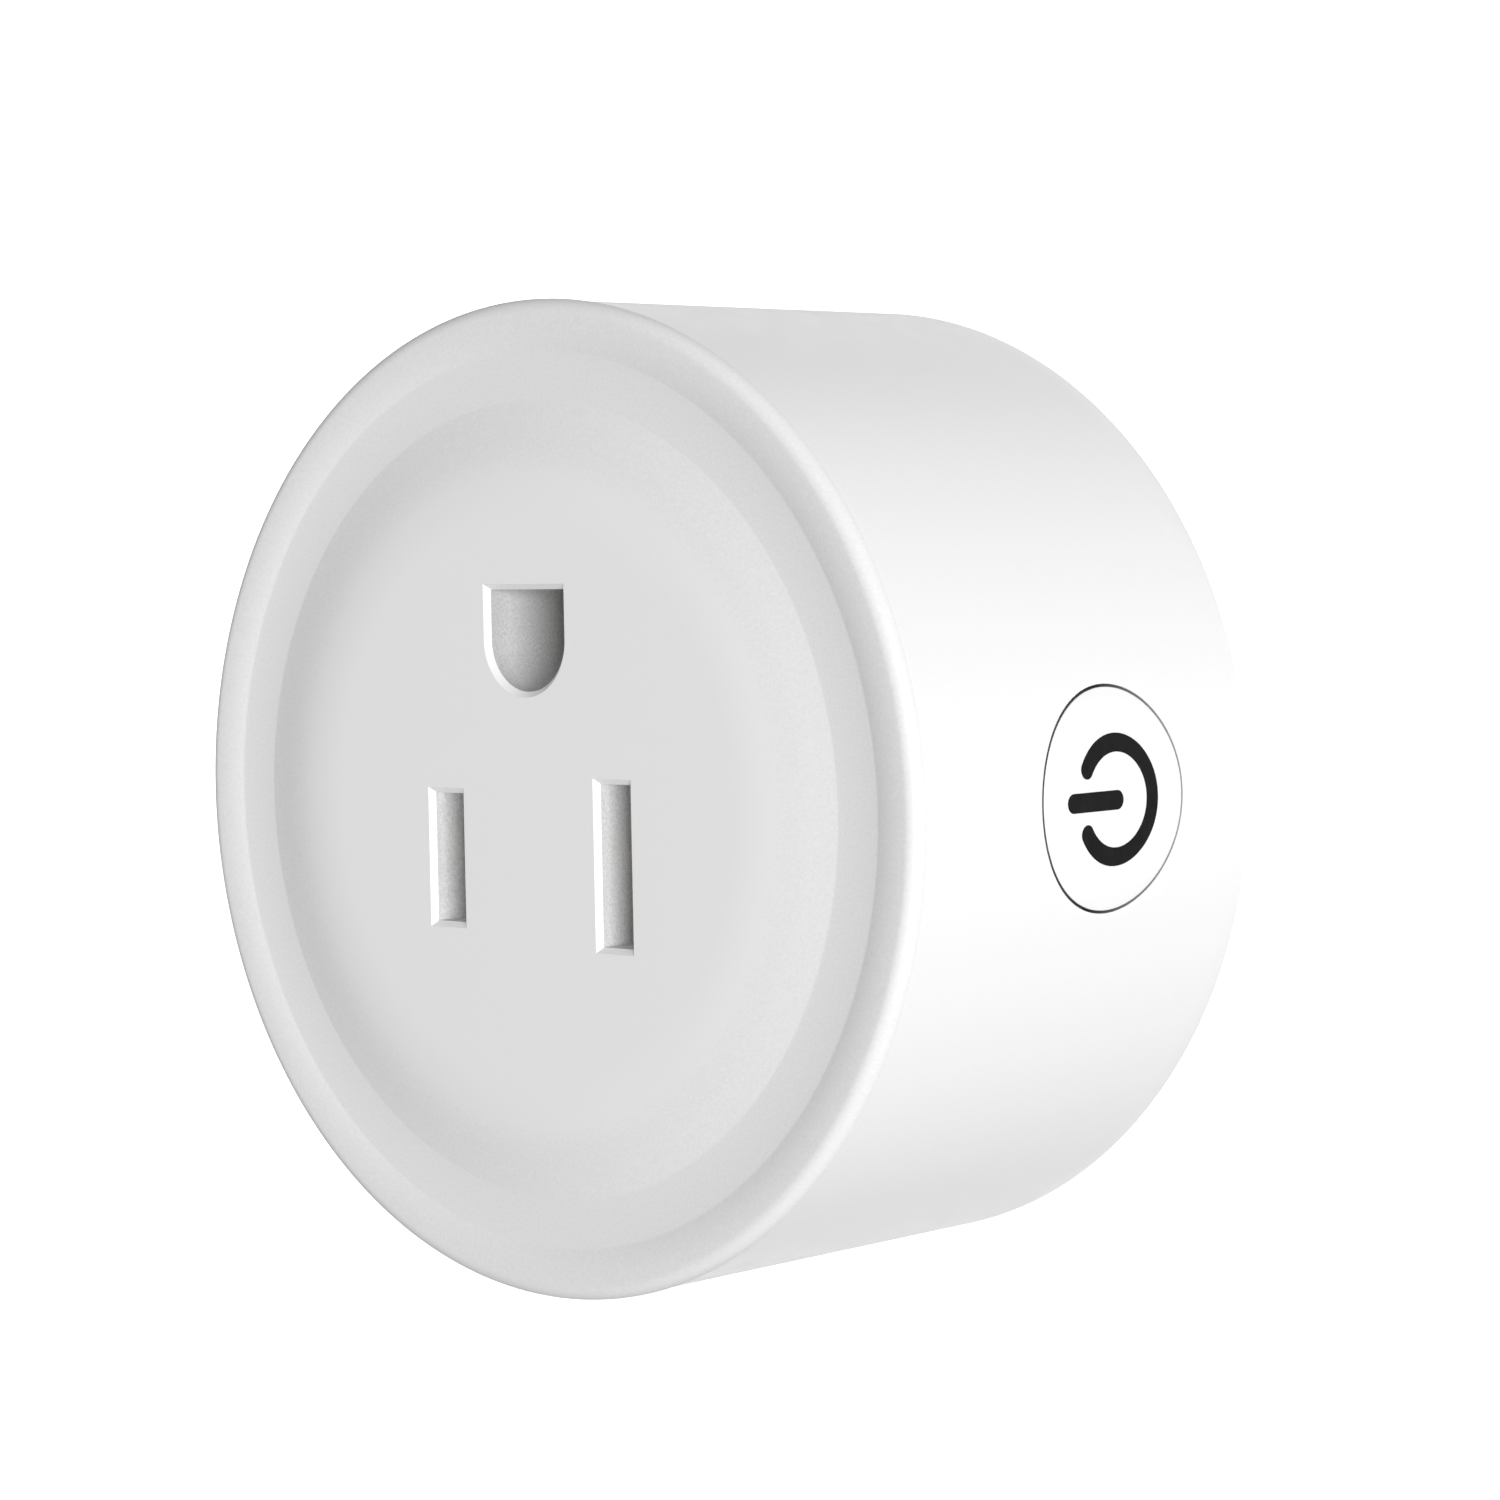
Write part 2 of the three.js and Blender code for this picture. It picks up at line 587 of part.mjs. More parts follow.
// The moulded block that holds the three contacts behind the faceplate, with a leg to the board.
function contactCarrier() {
  const SHELL = 1.2;
  const chambers = [
    { x0: -BLADE_X - 2.6, x1: -BLADE_X + 2.6, z0: BLADE_ROW_Z - 4.7, z1: BLADE_ROW_Z + 4.9 },
    { x0: BLADE_X - 2.6, x1: BLADE_X + 2.6, z0: BLADE_ROW_Z - 4.7, z1: BLADE_ROW_Z + 4.9 },
    { x0: -3.9, x1: 3.9, z0: GROUND_Z - 3.9, z1: GROUND_Z + 4.1 },
  ];
  const walls = chambers.map(({ x0, x1, z0, z1 }) =>
    block([x0 - SHELL, CARRIER_FRONT_Y, z0 - SHELL], [x1 + SHELL, CARRIER_REAR_Y, z1 + SHELL]),
  );
  const hollows = chambers.map(({ x0, x1, z0, z1 }) =>
    block([x0, CARRIER_FRONT_Y - 1, z0], [x1, CARRIER_REAR_Y + 1, z1]),
  );
  const web = block([-2.6, CARRIER_FRONT_Y, -6], [2.6, CARRIER_REAR_Y, GROUND_Z - 4.5]);
  const leg = block([-2.0, CARRIER_REAR_Y - 1, -5.5], [2.0, BOARD_FRONT_Y - 0.05, 0]);
  const ears = carrierScrewPlaces.map(({ x, z }) =>
    block([x - 2.6, CARRIER_EAR_Y, z - 2.6], [x + 2.6, CARRIER_EAR_Y + 1.5, z + 2.2]),
  );
  // The faceplate's screw posts stand in front of the ears.
  const postRoom = carrierScrewPlaces.map(({ x, z }) =>
    barY(2.1, CARRIER_FRONT_Y - 1, CARRIER_EAR_Y, x, z),
  );
  const screwHoles = carrierScrewPlaces.map(({ x, z }) =>
    barY(1.25, CARRIER_EAR_Y - 1, CARRIER_EAR_Y + 2, x, z, 16),
  );
  const headRoom = carrierScrewPlaces.map(({ x, z }) =>
    barY(CARRIER_SCREW.headRadius + 0.15, CARRIER_EAR_Y + 1.5, CARRIER_REAR_Y + 1, x, z),
  );
  return cut(join(...walls, web, leg, ...ears), ...hollows, ...postRoom, ...screwHoles, ...headRoom);
}

// ---------------------------------------------------------------- main board

// Board parts stand on the board's front face and rise along -Y. Each is drawn with the board's
// face at y = 0 and its leads running through to the back.
const LEAD_RADIUS = 0.3;
const LEAD_HOLE = 0.45;
const STAND_OFF = 0.1;
const lead = (x, z) => barY(LEAD_RADIUS, -STAND_OFF - 0.4, BOARD_THICK + 0.7, x, z, LEAD_SEGMENTS);

// Where the board parts stand: x and z of each centre, and its leads' offsets from there.
const twoLeads = (pitch, along = "x") =>
  [-pitch / 2, pitch / 2].map((d) => (along === "x" ? [d, 0] : [0, d]));
const layout = {
  bulk_capacitor_1: { x: -20.0, z: -0.6, leads: twoLeads(3.5, "z") },
  bulk_capacitor_2: { x: -18.2, z: 8.2, leads: twoLeads(3.5, "z") },
  output_capacitor: { x: -14.3, z: -6.8, leads: twoLeads(2.5, "z") },
  filter_choke: { x: -12.7, z: 15.2, leads: twoLeads(5.0) },
  power_inductor: { x: -13.4, z: -14.4, leads: twoLeads(3.6) },
  noise_capacitor: { x: 0, z: 17.0, leads: twoLeads(10) },
  varistor: { x: 12.3, z: 14.6, leads: twoLeads(5.0, "z") },
  fuse: { x: 13.4, z: -13.0, leads: twoLeads(5.0, "z") },
};
const leadsOf = (name) => layout[name].leads.map(([x, z]) => lead(x, z));

function electrolytic(name, radius, height) {
  const groove = height * 0.12;
  const can = turned([
    [0, -STAND_OFF],
    [radius, -STAND_OFF],
    [radius, -groove + 0.5],
    [radius - 0.3, -groove],
    [radius, -groove - 0.5],
    [radius, -height + 0.4],
    [radius - 0.4, -height],
    [0, -height],
  ]);
  return join(can, ...leadsOf(name));
}

// A drum core and the wire wound between its flanges.
function drumCore(name, radius, height) {
  const FLANGE = 1.3;
  const core = turned([
    [0, -STAND_OFF],
    [radius, -STAND_OFF],
    [radius, -FLANGE],
    [radius * 0.45, -FLANGE],
    [radius * 0.45, -height + FLANGE],
    [radius, -height + FLANGE],
    [radius, -height],
    [0, -height],
  ]);
  return join(core, ...leadsOf(name));
}

function drumWinding(radius, height) {
  const FLANGE = 1.35;
  const [inner, outer] = [radius * 0.45 + 0.05, radius * 0.9];
  const bulge = 0.12;
  return turned([
    [inner, -FLANGE],
    [outer - bulge, -FLANGE],
    [outer, -FLANGE - 0.5],
    [outer, -height + FLANGE + 0.5],
    [outer - bulge, -height + FLANGE],
    [inner, -height + FLANGE],
    [inner, -FLANGE],
  ]);
}

function boxPart(name, width, height, depth, radius) {
  const body = alongY(roundedRectangle(width, depth, radius), -height, -STAND_OFF);
  return join(body, ...leadsOf(name));
}

function varistor() {
  const RADIUS = 4.2;
  const THICK = 3.8;
  const centreY = -RADIUS - 0.8;
  const coin = turned([
    [0, -THICK / 2],
    [RADIUS - 0.8, -THICK / 2],
    [RADIUS, -THICK / 2 + 0.9],
    [RADIUS, THICK / 2 - 0.9],
    [RADIUS - 0.8, THICK / 2],
    [0, THICK / 2],
  ]).rotate([0, 0, 90]);
  const legs = layout.varistor.leads.map(([x, z]) =>
    barY(LEAD_RADIUS, centreY + 1, BOARD_THICK + 0.7, x, z, LEAD_SEGMENTS),
  );
  return join(coin.translate([0, centreY, 0]), ...legs);
}

// A moulded chip with bent leads on two sides, lying on the board's back face and rising along +Y.
function chip(width, depth, height, leadsPerSide) {
  const body = alongY(rectangle(-width / 2, width / 2, -depth / 2, depth / 2), 0.1, height);
  const FOOT = 0.22;
  const pitch = width / leadsPerSide;
  const legs = [1, -1].flatMap((side) =>
    Array.from({ length: leadsPerSide }, (_, i) => {
      const x = (i - (leadsPerSide - 1) / 2) * pitch;
      const profile = [
        [side * (depth / 2 - 0.1), height * 0.55],
        [side * (depth / 2 + 0.45), height * 0.55],
        [side * (depth / 2 + 0.65), FOOT],
        [side * (depth / 2 + 1.1), FOOT],
        [side * (depth / 2 + 1.1), 0.03],
        [side * (depth / 2 + 0.45), 0.03],
        [side * (depth / 2 + 0.3), height * 0.55 - FOOT],
        [side * (depth / 2 - 0.1), height * 0.55 - FOOT],
      ].map(([z, y]) => [y, z]);
      return alongX(polygon(profile), x - 0.2, x + 0.2);
    }),
  );
  return join(body, ...legs);
}

const RELAY = { x: 0, z: -16.1, width: 18.4, depth: 10.2, height: 15.3 };
const RELAY_PINS = [
  { name: "coil_pin_1", x: -0.6, z: 3.4 },
  { name: "coil_pin_2", x: -0.6, z: -3.4 },
];
const FIXED_TERMINAL_X = -7.5;
const COMMON_TERMINAL_X = 7.5;

function mainBoard() {
  const disc = barY(BOARD_RADIUS, BOARD_FRONT_Y, BOARD_BACK_Y, 0, 0, BODY_SEGMENTS);
  const through = (x, z, halfX, halfZ) =>
    block([x - halfX, BOARD_FRONT_Y - 1, z - halfZ], [x + halfX, BOARD_BACK_Y + 1, z + halfZ]);
  const round = (x, z, radius, segments = LEAD_SEGMENTS) =>
    barY(radius, BOARD_FRONT_Y - 1, BOARD_BACK_Y + 1, x, z, segments);
  const bossNotches = coverScrewPlaces.map(({ x, z }) => round(x * 1.04, z * 1.04, 3.5, PIECE_SEGMENTS));
  const buttonNotch = through(27, 0, 5, 5.6);
  const bladeTails = [-BLADE_X, BLADE_X].flatMap((x) => [
    through(x, BLADE_ROW_Z, BLADE_THICK / 2 + 0.15, 1.65),
    through(x, bladeTailZ, 1.65, STRIP / 2 + 0.15),
  ]);
  const groundTails = [round(0, GROUND_Z, 1.55, 16), through(0, groundTailZ, 1.65, STRIP / 2 + 0.15)];
  const controlSlot = through(CONTROL_X + CONTROL_THICK / 2, 0, CONTROL_THICK / 2 + 0.1, 4.15);
  const relayHoles = [
    ...RELAY_PINS.map(({ x, z }) => round(RELAY.x + x, RELAY.z + z, LEAD_HOLE)),
    through(RELAY.x + FIXED_TERMINAL_X, RELAY.z, 0.5, 1.2),
    through(RELAY.x + COMMON_TERMINAL_X, RELAY.z, 0.7, 1.2),
  ];
  const leadHoles = Object.values(layout).flatMap(({ x, z, leads }) =>
    leads.map(([dx, dz]) => round(x + dx, z + dz, LEAD_HOLE)),
  );
  return cut(
    disc,
    ...bossNotches,
    buttonNotch,
    ...bladeTails,
    ...groundTails,
    controlSlot,
    ...relayHoles,
    ...leadHoles,
  );
}

function boardParts() {
  const standing = (name, made, material, place = name) =>
    piece(name, made, material, [layout[place].x, BOARD_FRONT_Y, layout[place].z]);
  return group(
    piece("main_board", mainBoard(), materials.board),
    standing("bulk_capacitor_1", electrolytic("bulk_capacitor_1", 4.0, 14), materials.sleeve),
    standing("bulk_capacitor_2", electrolytic("bulk_capacitor_2", 4.0, 14), materials.sleeve),
    standing("output_capacitor", electrolytic("output_capacitor", 3.15, 11), materials.sleeve),
    standing("filter_choke_core", drumCore("filter_choke", 4.0, 9.5), materials.ferrite, "filter_choke"),
    standing("filter_choke_winding", drumWinding(4.0, 9.5), materials.copper, "filter_choke"),
    standing("power_inductor_core", drumCore("power_inductor", 3.0, 8), materials.ferrite, "power_inductor"),
    standing("power_inductor_winding", drumWinding(3.0, 8), materials.copper, "power_inductor"),
    standing("noise_capacitor", boxPart("noise_capacitor", 13, 11, 4.8, 0.5), materials.film),
    standing("varistor", varistor(), materials.varistor),
    standing("fuse", boxPart("fuse", 4.0, 7.8, 6.4, 0.6), materials.fuse),
    piece("bridge_rectifier", chip(4.8, 3.9, 1.6, 2), materials.chip, [-11.5, BOARD_BACK_Y, 3]),
    piece("power_regulator", chip(4.9, 3.9, 1.5, 4), materials.chip, [12, BOARD_BACK_Y, 2.5]),
  );
}

// ---------------------------------------------------------------- relay

// Drawn with the board's face at y = 0 and the relay's centre at x = 0, z = 0. The coil's core
// pulls the armature, which turns on the yoke's top edge and closes the contact.
const RELAY_WALL = 0.7;
const COIL_X = 2.5;
const YOKE_X = 8.0;
const YOKE_TOP_Y = -11.5;
const ARMATURE_OPEN = 4; // degrees from the closed position to the rest position
const CONTACT_X = -6.4;

function relayCase() {
  const { width, depth, height } = RELAY;
  const shell = alongY(roundedRectangle(width, depth, 0.8), -height, -0.2);
  const room = alongY(
    roundedRectangle(width - 2 * RELAY_WALL, depth - 2 * RELAY_WALL, 0.4),
    -height + RELAY_WALL,
    1,
  );
  return cut(shell, room);
}

function relayBase() {
  const { width, depth } = RELAY;
  const margin = 2 * RELAY_WALL + 0.2;
  const plate = alongY(roundedRectangle(width - margin, depth - margin, 0.4), -1.35, -0.15);
  const holes = RELAY_PINS.map(({ x, z }) => barY(LEAD_HOLE, -2, 1, x, z, LEAD_SEGMENTS));
  return cut(
    plate,
    ...holes,
    block([FIXED_TERMINAL_X - 0.4, -2, -1.1], [FIXED_TERMINAL_X + 0.4, 1, 1.1]),
    block([COMMON_TERMINAL_X - 0.6, -2, -1.1], [COMMON_TERMINAL_X + 0.6, 1, 1.1]),
  );
}

const BOBBIN_BOTTOM_Y = -2.55;
const BOBBIN_TOP_Y = -10.9;
const BOBBIN_RADIUS = 4.2;

function relayBobbin() {
  const FLANGE = 0.7;
  const BARREL = 2.2;
  const BORE = 1.75;
  const spool = turned([
    [BORE, BOBBIN_BOTTOM_Y],
    [BOBBIN_RADIUS, BOBBIN_BOTTOM_Y],
    [BOBBIN_RADIUS, BOBBIN_BOTTOM_Y - FLANGE],
    [BARREL, BOBBIN_BOTTOM_Y - FLANGE],
    [BARREL, BOBBIN_TOP_Y + FLANGE],
    [BOBBIN_RADIUS, BOBBIN_TOP_Y + FLANGE],
    [BOBBIN_RADIUS, BOBBIN_TOP_Y],
    [BORE, BOBBIN_TOP_Y],
    [BORE, BOBBIN_BOTTOM_Y],
  ]);
  return spool.translate([COIL_X, 0, 0]);
}

function relayWinding() {
  const [inner, outer] = [2.25, 3.8];
  const [low, high] = [BOBBIN_BOTTOM_Y - 0.75, BOBBIN_TOP_Y + 0.75];
  const ring = turned([
    [inner, low],
    [outer - 0.15, low],
    [outer, low - 0.4],
    [outer, high + 0.4],
    [outer - 0.15, high],
    [inner, high],
    [inner, low],
  ]);
  return ring.translate([COIL_X, 0, 0]);
}

// The iron circuit: bottom bar, upright, core with its pole, and the common terminal under it.
function relayYoke() {
  const HALF = 3.6;
  const bottom = block([0.6, BOBBIN_BOTTOM_Y + 0.05, -HALF], [YOKE_X, -1.45, HALF]);
  const upright = block([YOKE_X - 1.0, YOKE_TOP_Y, -HALF], [YOKE_X, -1.45, HALF]);
  const core = barY(1.6, YOKE_TOP_Y, -1.6, COIL_X, 0);
  const pole = barY(2.7, YOKE_TOP_Y, BOBBIN_TOP_Y - 0.05, COIL_X, 0);
  const terminal = block(
    [COMMON_TERMINAL_X - 0.4, -2, -0.9],
    [COMMON_TERMINAL_X + 0.4, BOARD_THICK + 0.9, 0.9],
  );
  return join(bottom, upright, core, pole, terminal);
}

// Drawn about the pivot, the yoke's outer top edge, in the closed position.
function relayArmature() {
  return join(
    block([-8.5, -1.0, -3.4], [0, 0, 3.4]),
    block([-0.0, -1.0, -1.2], [0.4, -0.2, 1.2]),
  );
}

function relayContactSpring() {
  const strip = block([CONTACT_X - YOKE_X - 1.0, -1.3, -2.2], [-2.0, -1.05, 2.2]);
  const rivet = barY(1.2, -1.2, -0.38, CONTACT_X - YOKE_X, 0);
  return join(strip, rivet);
}

function relayFixedContact() {
  const topY = YOKE_TOP_Y + 0.4;
  const upright = block(
    [FIXED_TERMINAL_X - 0.2, topY, -0.9],
    [FIXED_TERMINAL_X + 0.2, BOARD_THICK + 0.9, 0.9],
  );
  const arm = block([FIXED_TERMINAL_X - 0.2, topY, -1.6], [CONTACT_X + 1.2, topY + 0.4, 1.6]);
  const button = barY(1.2, YOKE_TOP_Y - 0.4, topY + 0.1, CONTACT_X, 0);
  return join(upright, arm, button);
}

function relay() {
  const pins = RELAY_PINS.map(({ name, x, z }) =>
    piece(
      `relay_${name}`,
      barY(LEAD_RADIUS, BOBBIN_BOTTOM_Y + 0.05, BOARD_THICK + 0.8, x, z, LEAD_SEGMENTS),
      materials.steel,
    ),
  );
  const moving = group(
    piece("relay_armature", relayArmature(), materials.iron),
    piece("relay_contact_spring", relayContactSpring(), materials.bronze),
  );
  moving.position.set(YOKE_X, YOKE_TOP_Y - 0.05, 0);
  moving.rotation.z = THREE.MathUtils.degToRad(ARMATURE_OPEN);
  const made = group(
    piece("relay_case", relayCase(), materials.relayCase),
    piece("relay_base", relayBase(), materials.relayCase),
    piece("relay_bobbin", relayBobbin(), materials.bobbin),
    piece("relay_winding", relayWinding(), materials.copper),
    piece("relay_yoke", relayYoke(), materials.iron),
    piece("relay_fixed_contact", relayFixedContact(), materials.bronze),
    ...pins,
    moving,
  );
  made.position.set(RELAY.x, BOARD_FRONT_Y, RELAY.z);
  return made;
}

// ---------------------------------------------------------------- control board

function controlBoard() {
  const board = block([CONTROL_X, -23.4, -8.2], [CONTROL_OUTER_X, BOARD_FRONT_Y - 0.1, 8.2]);
  const tongue = block([CONTROL_X, BOARD_FRONT_Y - 0.5, -4.0], [CONTROL_OUTER_X, BOARD_BACK_Y + 0.3, 4.0]);
  return join(board, tongue);
}

function radioModule() {
  return block([CONTROL_X - 0.85, -23.0, -7.6], [CONTROL_X - 0.05, -8.0, 7.6]);
}

function radioShield() {
  const top = CONTROL_X - 0.9;
  const can = block([top - 2.1, -17.8, -6.4], [top, -8.8, 6.4]);
  const room = block([top - 1.85, -17.55, -6.15], [top + 1, -9.05, 6.15]);
  return cut(can, room);
}

// A 6 mm tactile switch, drawn along +X from the control board.
const SWITCH_HALF = 3.0;
const SWITCH_BASE_X = CONTROL_OUTER_X + 0.05;
const SWITCH_TOP_X = 20.9;
const WELL_X = SWITCH_BASE_X + 1.2;

function switchHousing() {
  const outline = roundedRectangle(2 * SWITCH_HALF, 2 * SWITCH_HALF, 0.4, BUTTON_Y, 0);
  const well = barX(2.5, WELL_X, SWITCH_TOP_X + 1, BUTTON_Y, 0);
  return cut(alongX(outline, SWITCH_BASE_X, SWITCH_TOP_X), well);
}

function switchCover() {
  const outline = roundedRectangle(2 * SWITCH_HALF, 2 * SWITCH_HALF, 0.4, BUTTON_Y, 0);
  return cut(
    alongX(outline, SWITCH_TOP_X + 0.05, SWITCH_TOP_X + 0.3),
    barX(1.85, SWITCH_TOP_X - 1, SWITCH_TOP_X + 1, BUTTON_Y, 0),
  );
}

function switchPlunger() {
  return join(
    barX(1.75, SWITCH_TOP_X - 1.0, PLUNGER_TOP_X, BUTTON_Y, 0),
    barX(2.3, SWITCH_TOP_X - 0.9, SWITCH_TOP_X - 0.1, BUTTON_Y, 0),
  );
}

// A thin snap dome on the floor of the well.
function switchDome() {
  const RISE = 0.35;
  const SHEET = 0.1;
  const [outer, inner] = [2.3, 0.9];
  const dome = turned([
    [0, RISE],
    [inner, RISE * 0.85],
    [outer, 0],
    [outer, SHEET],
    [inner, RISE * 0.85 + SHEET],
    [0, RISE + SHEET],
  ]).rotate([0, 0, -90]);
  return dome.translate([WELL_X + 0.05, BUTTON_Y, 0]);
}

function statusLed() {
  const y = BUTTON_Y - 4.2;
  return join(
    block([CONTROL_OUTER_X + 0.05, y - 0.8, -0.8], [CONTROL_OUTER_X + 0.75, y + 0.8, 0.8]),
    barX(0.55, CONTROL_OUTER_X + 0.6, CONTROL_OUTER_X + 1.0, y, 0, 16),
  );
}

// ---------------------------------------------------------------- assembly

const enclosure = group(
  piece("housing", housing(), materials.glossWhite),
  piece("faceplate", faceplate(), materials.mattWhite),
  piece("rear_cover", rearCover(), materials.coverWhite),
  ...coverScrewPlaces.map(({ x, z }, i) =>
    piece(`cover_screw_${i + 1}`, screw(COVER_SCREW), materials.steel, [x, COVER_SEAT_Y + 0.03, z]),
  ),
);

const pins = group(
  piece("line_blade", blade(), materials.brass, [-BLADE_X, 0, BLADE_ROW_Z]),
  piece("neutral_blade", blade(), materials.brass, [BLADE_X, 0, BLADE_ROW_Z]),
  piece("ground_pin", groundPin(), materials.brass, [0, 0, GROUND_Z]),
);

const BLADE_GAP = BLADE_THICK + 0.16;
const PIN_GAP = 2 * PIN_RADIUS + 0.16;
const socket = group(
  piece("contact_carrier", contactCarrier(), materials.carrier),
  piece(
    "line_contact",
    contact(BLADE_GAP, BLADE_LEAF, -1, BLADE_CONTACT_Y),
    materials.bronze,
    [-BLADE_X, 0, BLADE_ROW_Z],
  ),
  piece(
    "neutral_contact",
    contact(BLADE_GAP, BLADE_LEAF, -1, BLADE_CONTACT_Y),
    materials.bronze,
    [BLADE_X, 0, BLADE_ROW_Z],
  ),
  piece(
    "ground_contact",
    contact(PIN_GAP, GROUND_LEAF, 1, GROUND_CONTACT_Y),
    materials.bronze,
    [0, 0, GROUND_Z],
  ),
  ...carrierScrewPlaces.map(({ x, z }, i) =>
    piece(`carrier_screw_${i + 1}`, screw(CARRIER_SCREW), materials.steel, [x, CARRIER_EAR_Y + 1.53, z]),
  ),
);

const control = group(
  piece("control_board", controlBoard(), materials.board),
  piece("radio_module", radioModule(), materials.radioBoard),
  piece("radio_shield", radioShield(), materials.nickel),
  piece("switch_housing", switchHousing(), materials.chip),
  piece("switch_cover", switchCover(), materials.steel),
  piece("switch_plunger", switchPlunger(), materials.chip),
  piece("switch_dome", switchDome(), materials.steel),
  piece("status_led", statusLed(), materials.led),
);

const button = piece("power_button", powerButton(), materials.glossWhite);

const smartPlug = group(enclosure, pins, socket, boardParts(), relay(), control, button);

export default smartPlug;
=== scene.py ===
"""The round smart plug: its looks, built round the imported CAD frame.

Sizes are in millimetres in the part's own frame: the origin is the centre of the rear face, +Z is
up, the socket faces -Y, the wall pins point along +Y and the button is in the +X side.
"""

import json
import math

import bmesh
import bpy
from mathutils import Matrix, Vector


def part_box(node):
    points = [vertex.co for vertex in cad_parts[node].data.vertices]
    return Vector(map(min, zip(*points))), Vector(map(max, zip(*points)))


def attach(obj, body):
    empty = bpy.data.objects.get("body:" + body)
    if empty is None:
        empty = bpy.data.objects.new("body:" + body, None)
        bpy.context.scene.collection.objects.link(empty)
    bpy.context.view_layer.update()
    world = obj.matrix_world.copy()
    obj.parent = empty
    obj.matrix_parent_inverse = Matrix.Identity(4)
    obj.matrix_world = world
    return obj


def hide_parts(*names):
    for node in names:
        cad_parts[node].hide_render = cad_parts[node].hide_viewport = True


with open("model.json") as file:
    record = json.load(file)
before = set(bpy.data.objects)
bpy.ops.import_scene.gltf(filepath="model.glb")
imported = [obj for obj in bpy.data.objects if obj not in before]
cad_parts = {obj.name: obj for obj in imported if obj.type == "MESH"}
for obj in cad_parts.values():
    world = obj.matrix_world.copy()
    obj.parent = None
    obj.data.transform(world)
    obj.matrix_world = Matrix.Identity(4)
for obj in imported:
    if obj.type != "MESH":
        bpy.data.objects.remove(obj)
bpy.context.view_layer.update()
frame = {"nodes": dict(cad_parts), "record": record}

MM = 0.001
X, Y, Z = range(3)


def span(node, axis):
    """The lowest and the highest place of a CAD node along an axis, in millimetres."""
    return tuple(round(corner[axis] / MM, 3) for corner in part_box(node))


def centre_of(node, axis):
    return sum(span(node, axis)) / 2


# ---------------------------------------------------------------- sizes

# What the CAD frame settles.
FACE_Y = span("faceplate", Y)[0]
RIM_R = span("faceplate", X)[1]
FRONT_EDGE_Y = span("housing", Y)[0]
BODY_R = span("housing", X)[1]
BLADE_X = centre_of("neutral_blade", X)
BLADE_ROW_Z = centre_of("neutral_blade", Z)
GROUND_Z = centre_of("ground_pin", Z)
BUTTON_Y = centre_of("switch_plunger", Y)
SCREW_CIRCLE = centre_of("cover_screw_1", Z)
SCREW_ANGLES = (90, 210, 330)

# The housing's inner wall.
INNER_R = BODY_R - 1.8

# The front cover, by radius from its centre outwards: a flat disc that bends into a straight slope,
# a flat ring, and the lip. Depths are measured back from the socket face.
DOME_FLAT = 15.0
DOME_STRAIGHT = 20.0
DOME_FOOT = 21.5
RING_OUTER = 24.1
RING_RECESS = 0.76
LIP_CREST = 26.1
LIP_RECESS = 0.5
RIM_BACK = 1.3
PLATE_BACK = 2.8
GRAIN_FULL = 19.5  # the radius from which the moulded grain has its full strength

# The socket openings.
SLOT_W = 2.2
LINE_SLOT = 7.05
NEUTRAL_SLOT = 8.65
CHAMFER = 0.3
GROUND_R = 2.78
GROUND_FLAT = 2.7
GUIDE_WALL = 0.75
GUIDE_DEPTH = 6.7

# The button, and how far out its flange reaches.
BUTTON_HOLE = 6.0
BUTTON_R = 5.85
FLANGE_TOP = 23.4

# ---------------------------------------------------------------- mesh helpers


def loop(bm, points):
    """A closed loop of vertices and edges through points given in millimetres."""
    verts = [bm.verts.new((x * MM, y * MM, z * MM)) for x, y, z in points]
    for a, b in zip(verts, verts[1:] + verts[:1]):
        bm.edges.new((a, b))
    return verts


def bridge(bm, a, b):
    """Quads between two loops of the same length."""
    n = len(a)
    for i in range(n):
        j = (i + 1) % n
        bm.faces.new((a[i], a[j], b[j], b[i]))


def skin(bm, loops):
    """A surface through a row of loops, each given as points. Returns the first and last loops."""
    made = [loop(bm, points) for points in loops]
    for a, b in zip(made, made[1:]):
        bridge(bm, a, b)
    return made[0], made[-1]


def edges_of(bm, verts):
    """The edges round a loop of vertices. Any that is missing is made."""
    found = []
    for a, b in zip(verts, verts[1:] + verts[:1]):
        found.append(bm.edges.get((a, b)) or bm.edges.new((a, b)))
    return found


def fill(bm, *loops):
    """A flat face bounded by the first loop, with the other loops as holes."""
    edges = [e for verts in loops for e in edges_of(bm, verts)]
    bmesh.ops.triangle_fill(bm, edges=edges, use_beauty=True, use_dissolve=False)


def circle(radius, count, centre=(0, 0)):
    """Points (u, v) round a circle."""
    turn = 2 * math.pi / count
    return [
        (centre[0] + radius * math.cos(i * turn), centre[1] + radius * math.sin(i * turn))
        for i in range(count)
    ]


def rectangle(x, z, half_width, half_height):
    """The corners (x, z) of an upright rectangle."""
    left, right = x - half_width, x + half_width
    low, high = z - half_height, z + half_height
    return [(left, low), (right, low), (right, high), (left, high)]


def at_y(points, y):
    """Points (x, z) set at a place along Y."""
    return [(x, y, z) for x, z in points]


def ring_y(radius, y, count, centre=(0, 0)):
    """A ring round the Y axis, centred on (x, z)."""
    return at_y(circle(radius, count, centre), y)


def ring_x(radius, x, count):
    """A ring round the button's axis, which lies along X."""
    return [(x, y, z) for y, z in circle(radius, count, (BUTTON_Y, 0))]


def wall_x(z, radius=BODY_R):
    """How far out a round wall is at the height z, on its +X side."""
    return math.sqrt(radius**2 - z**2)


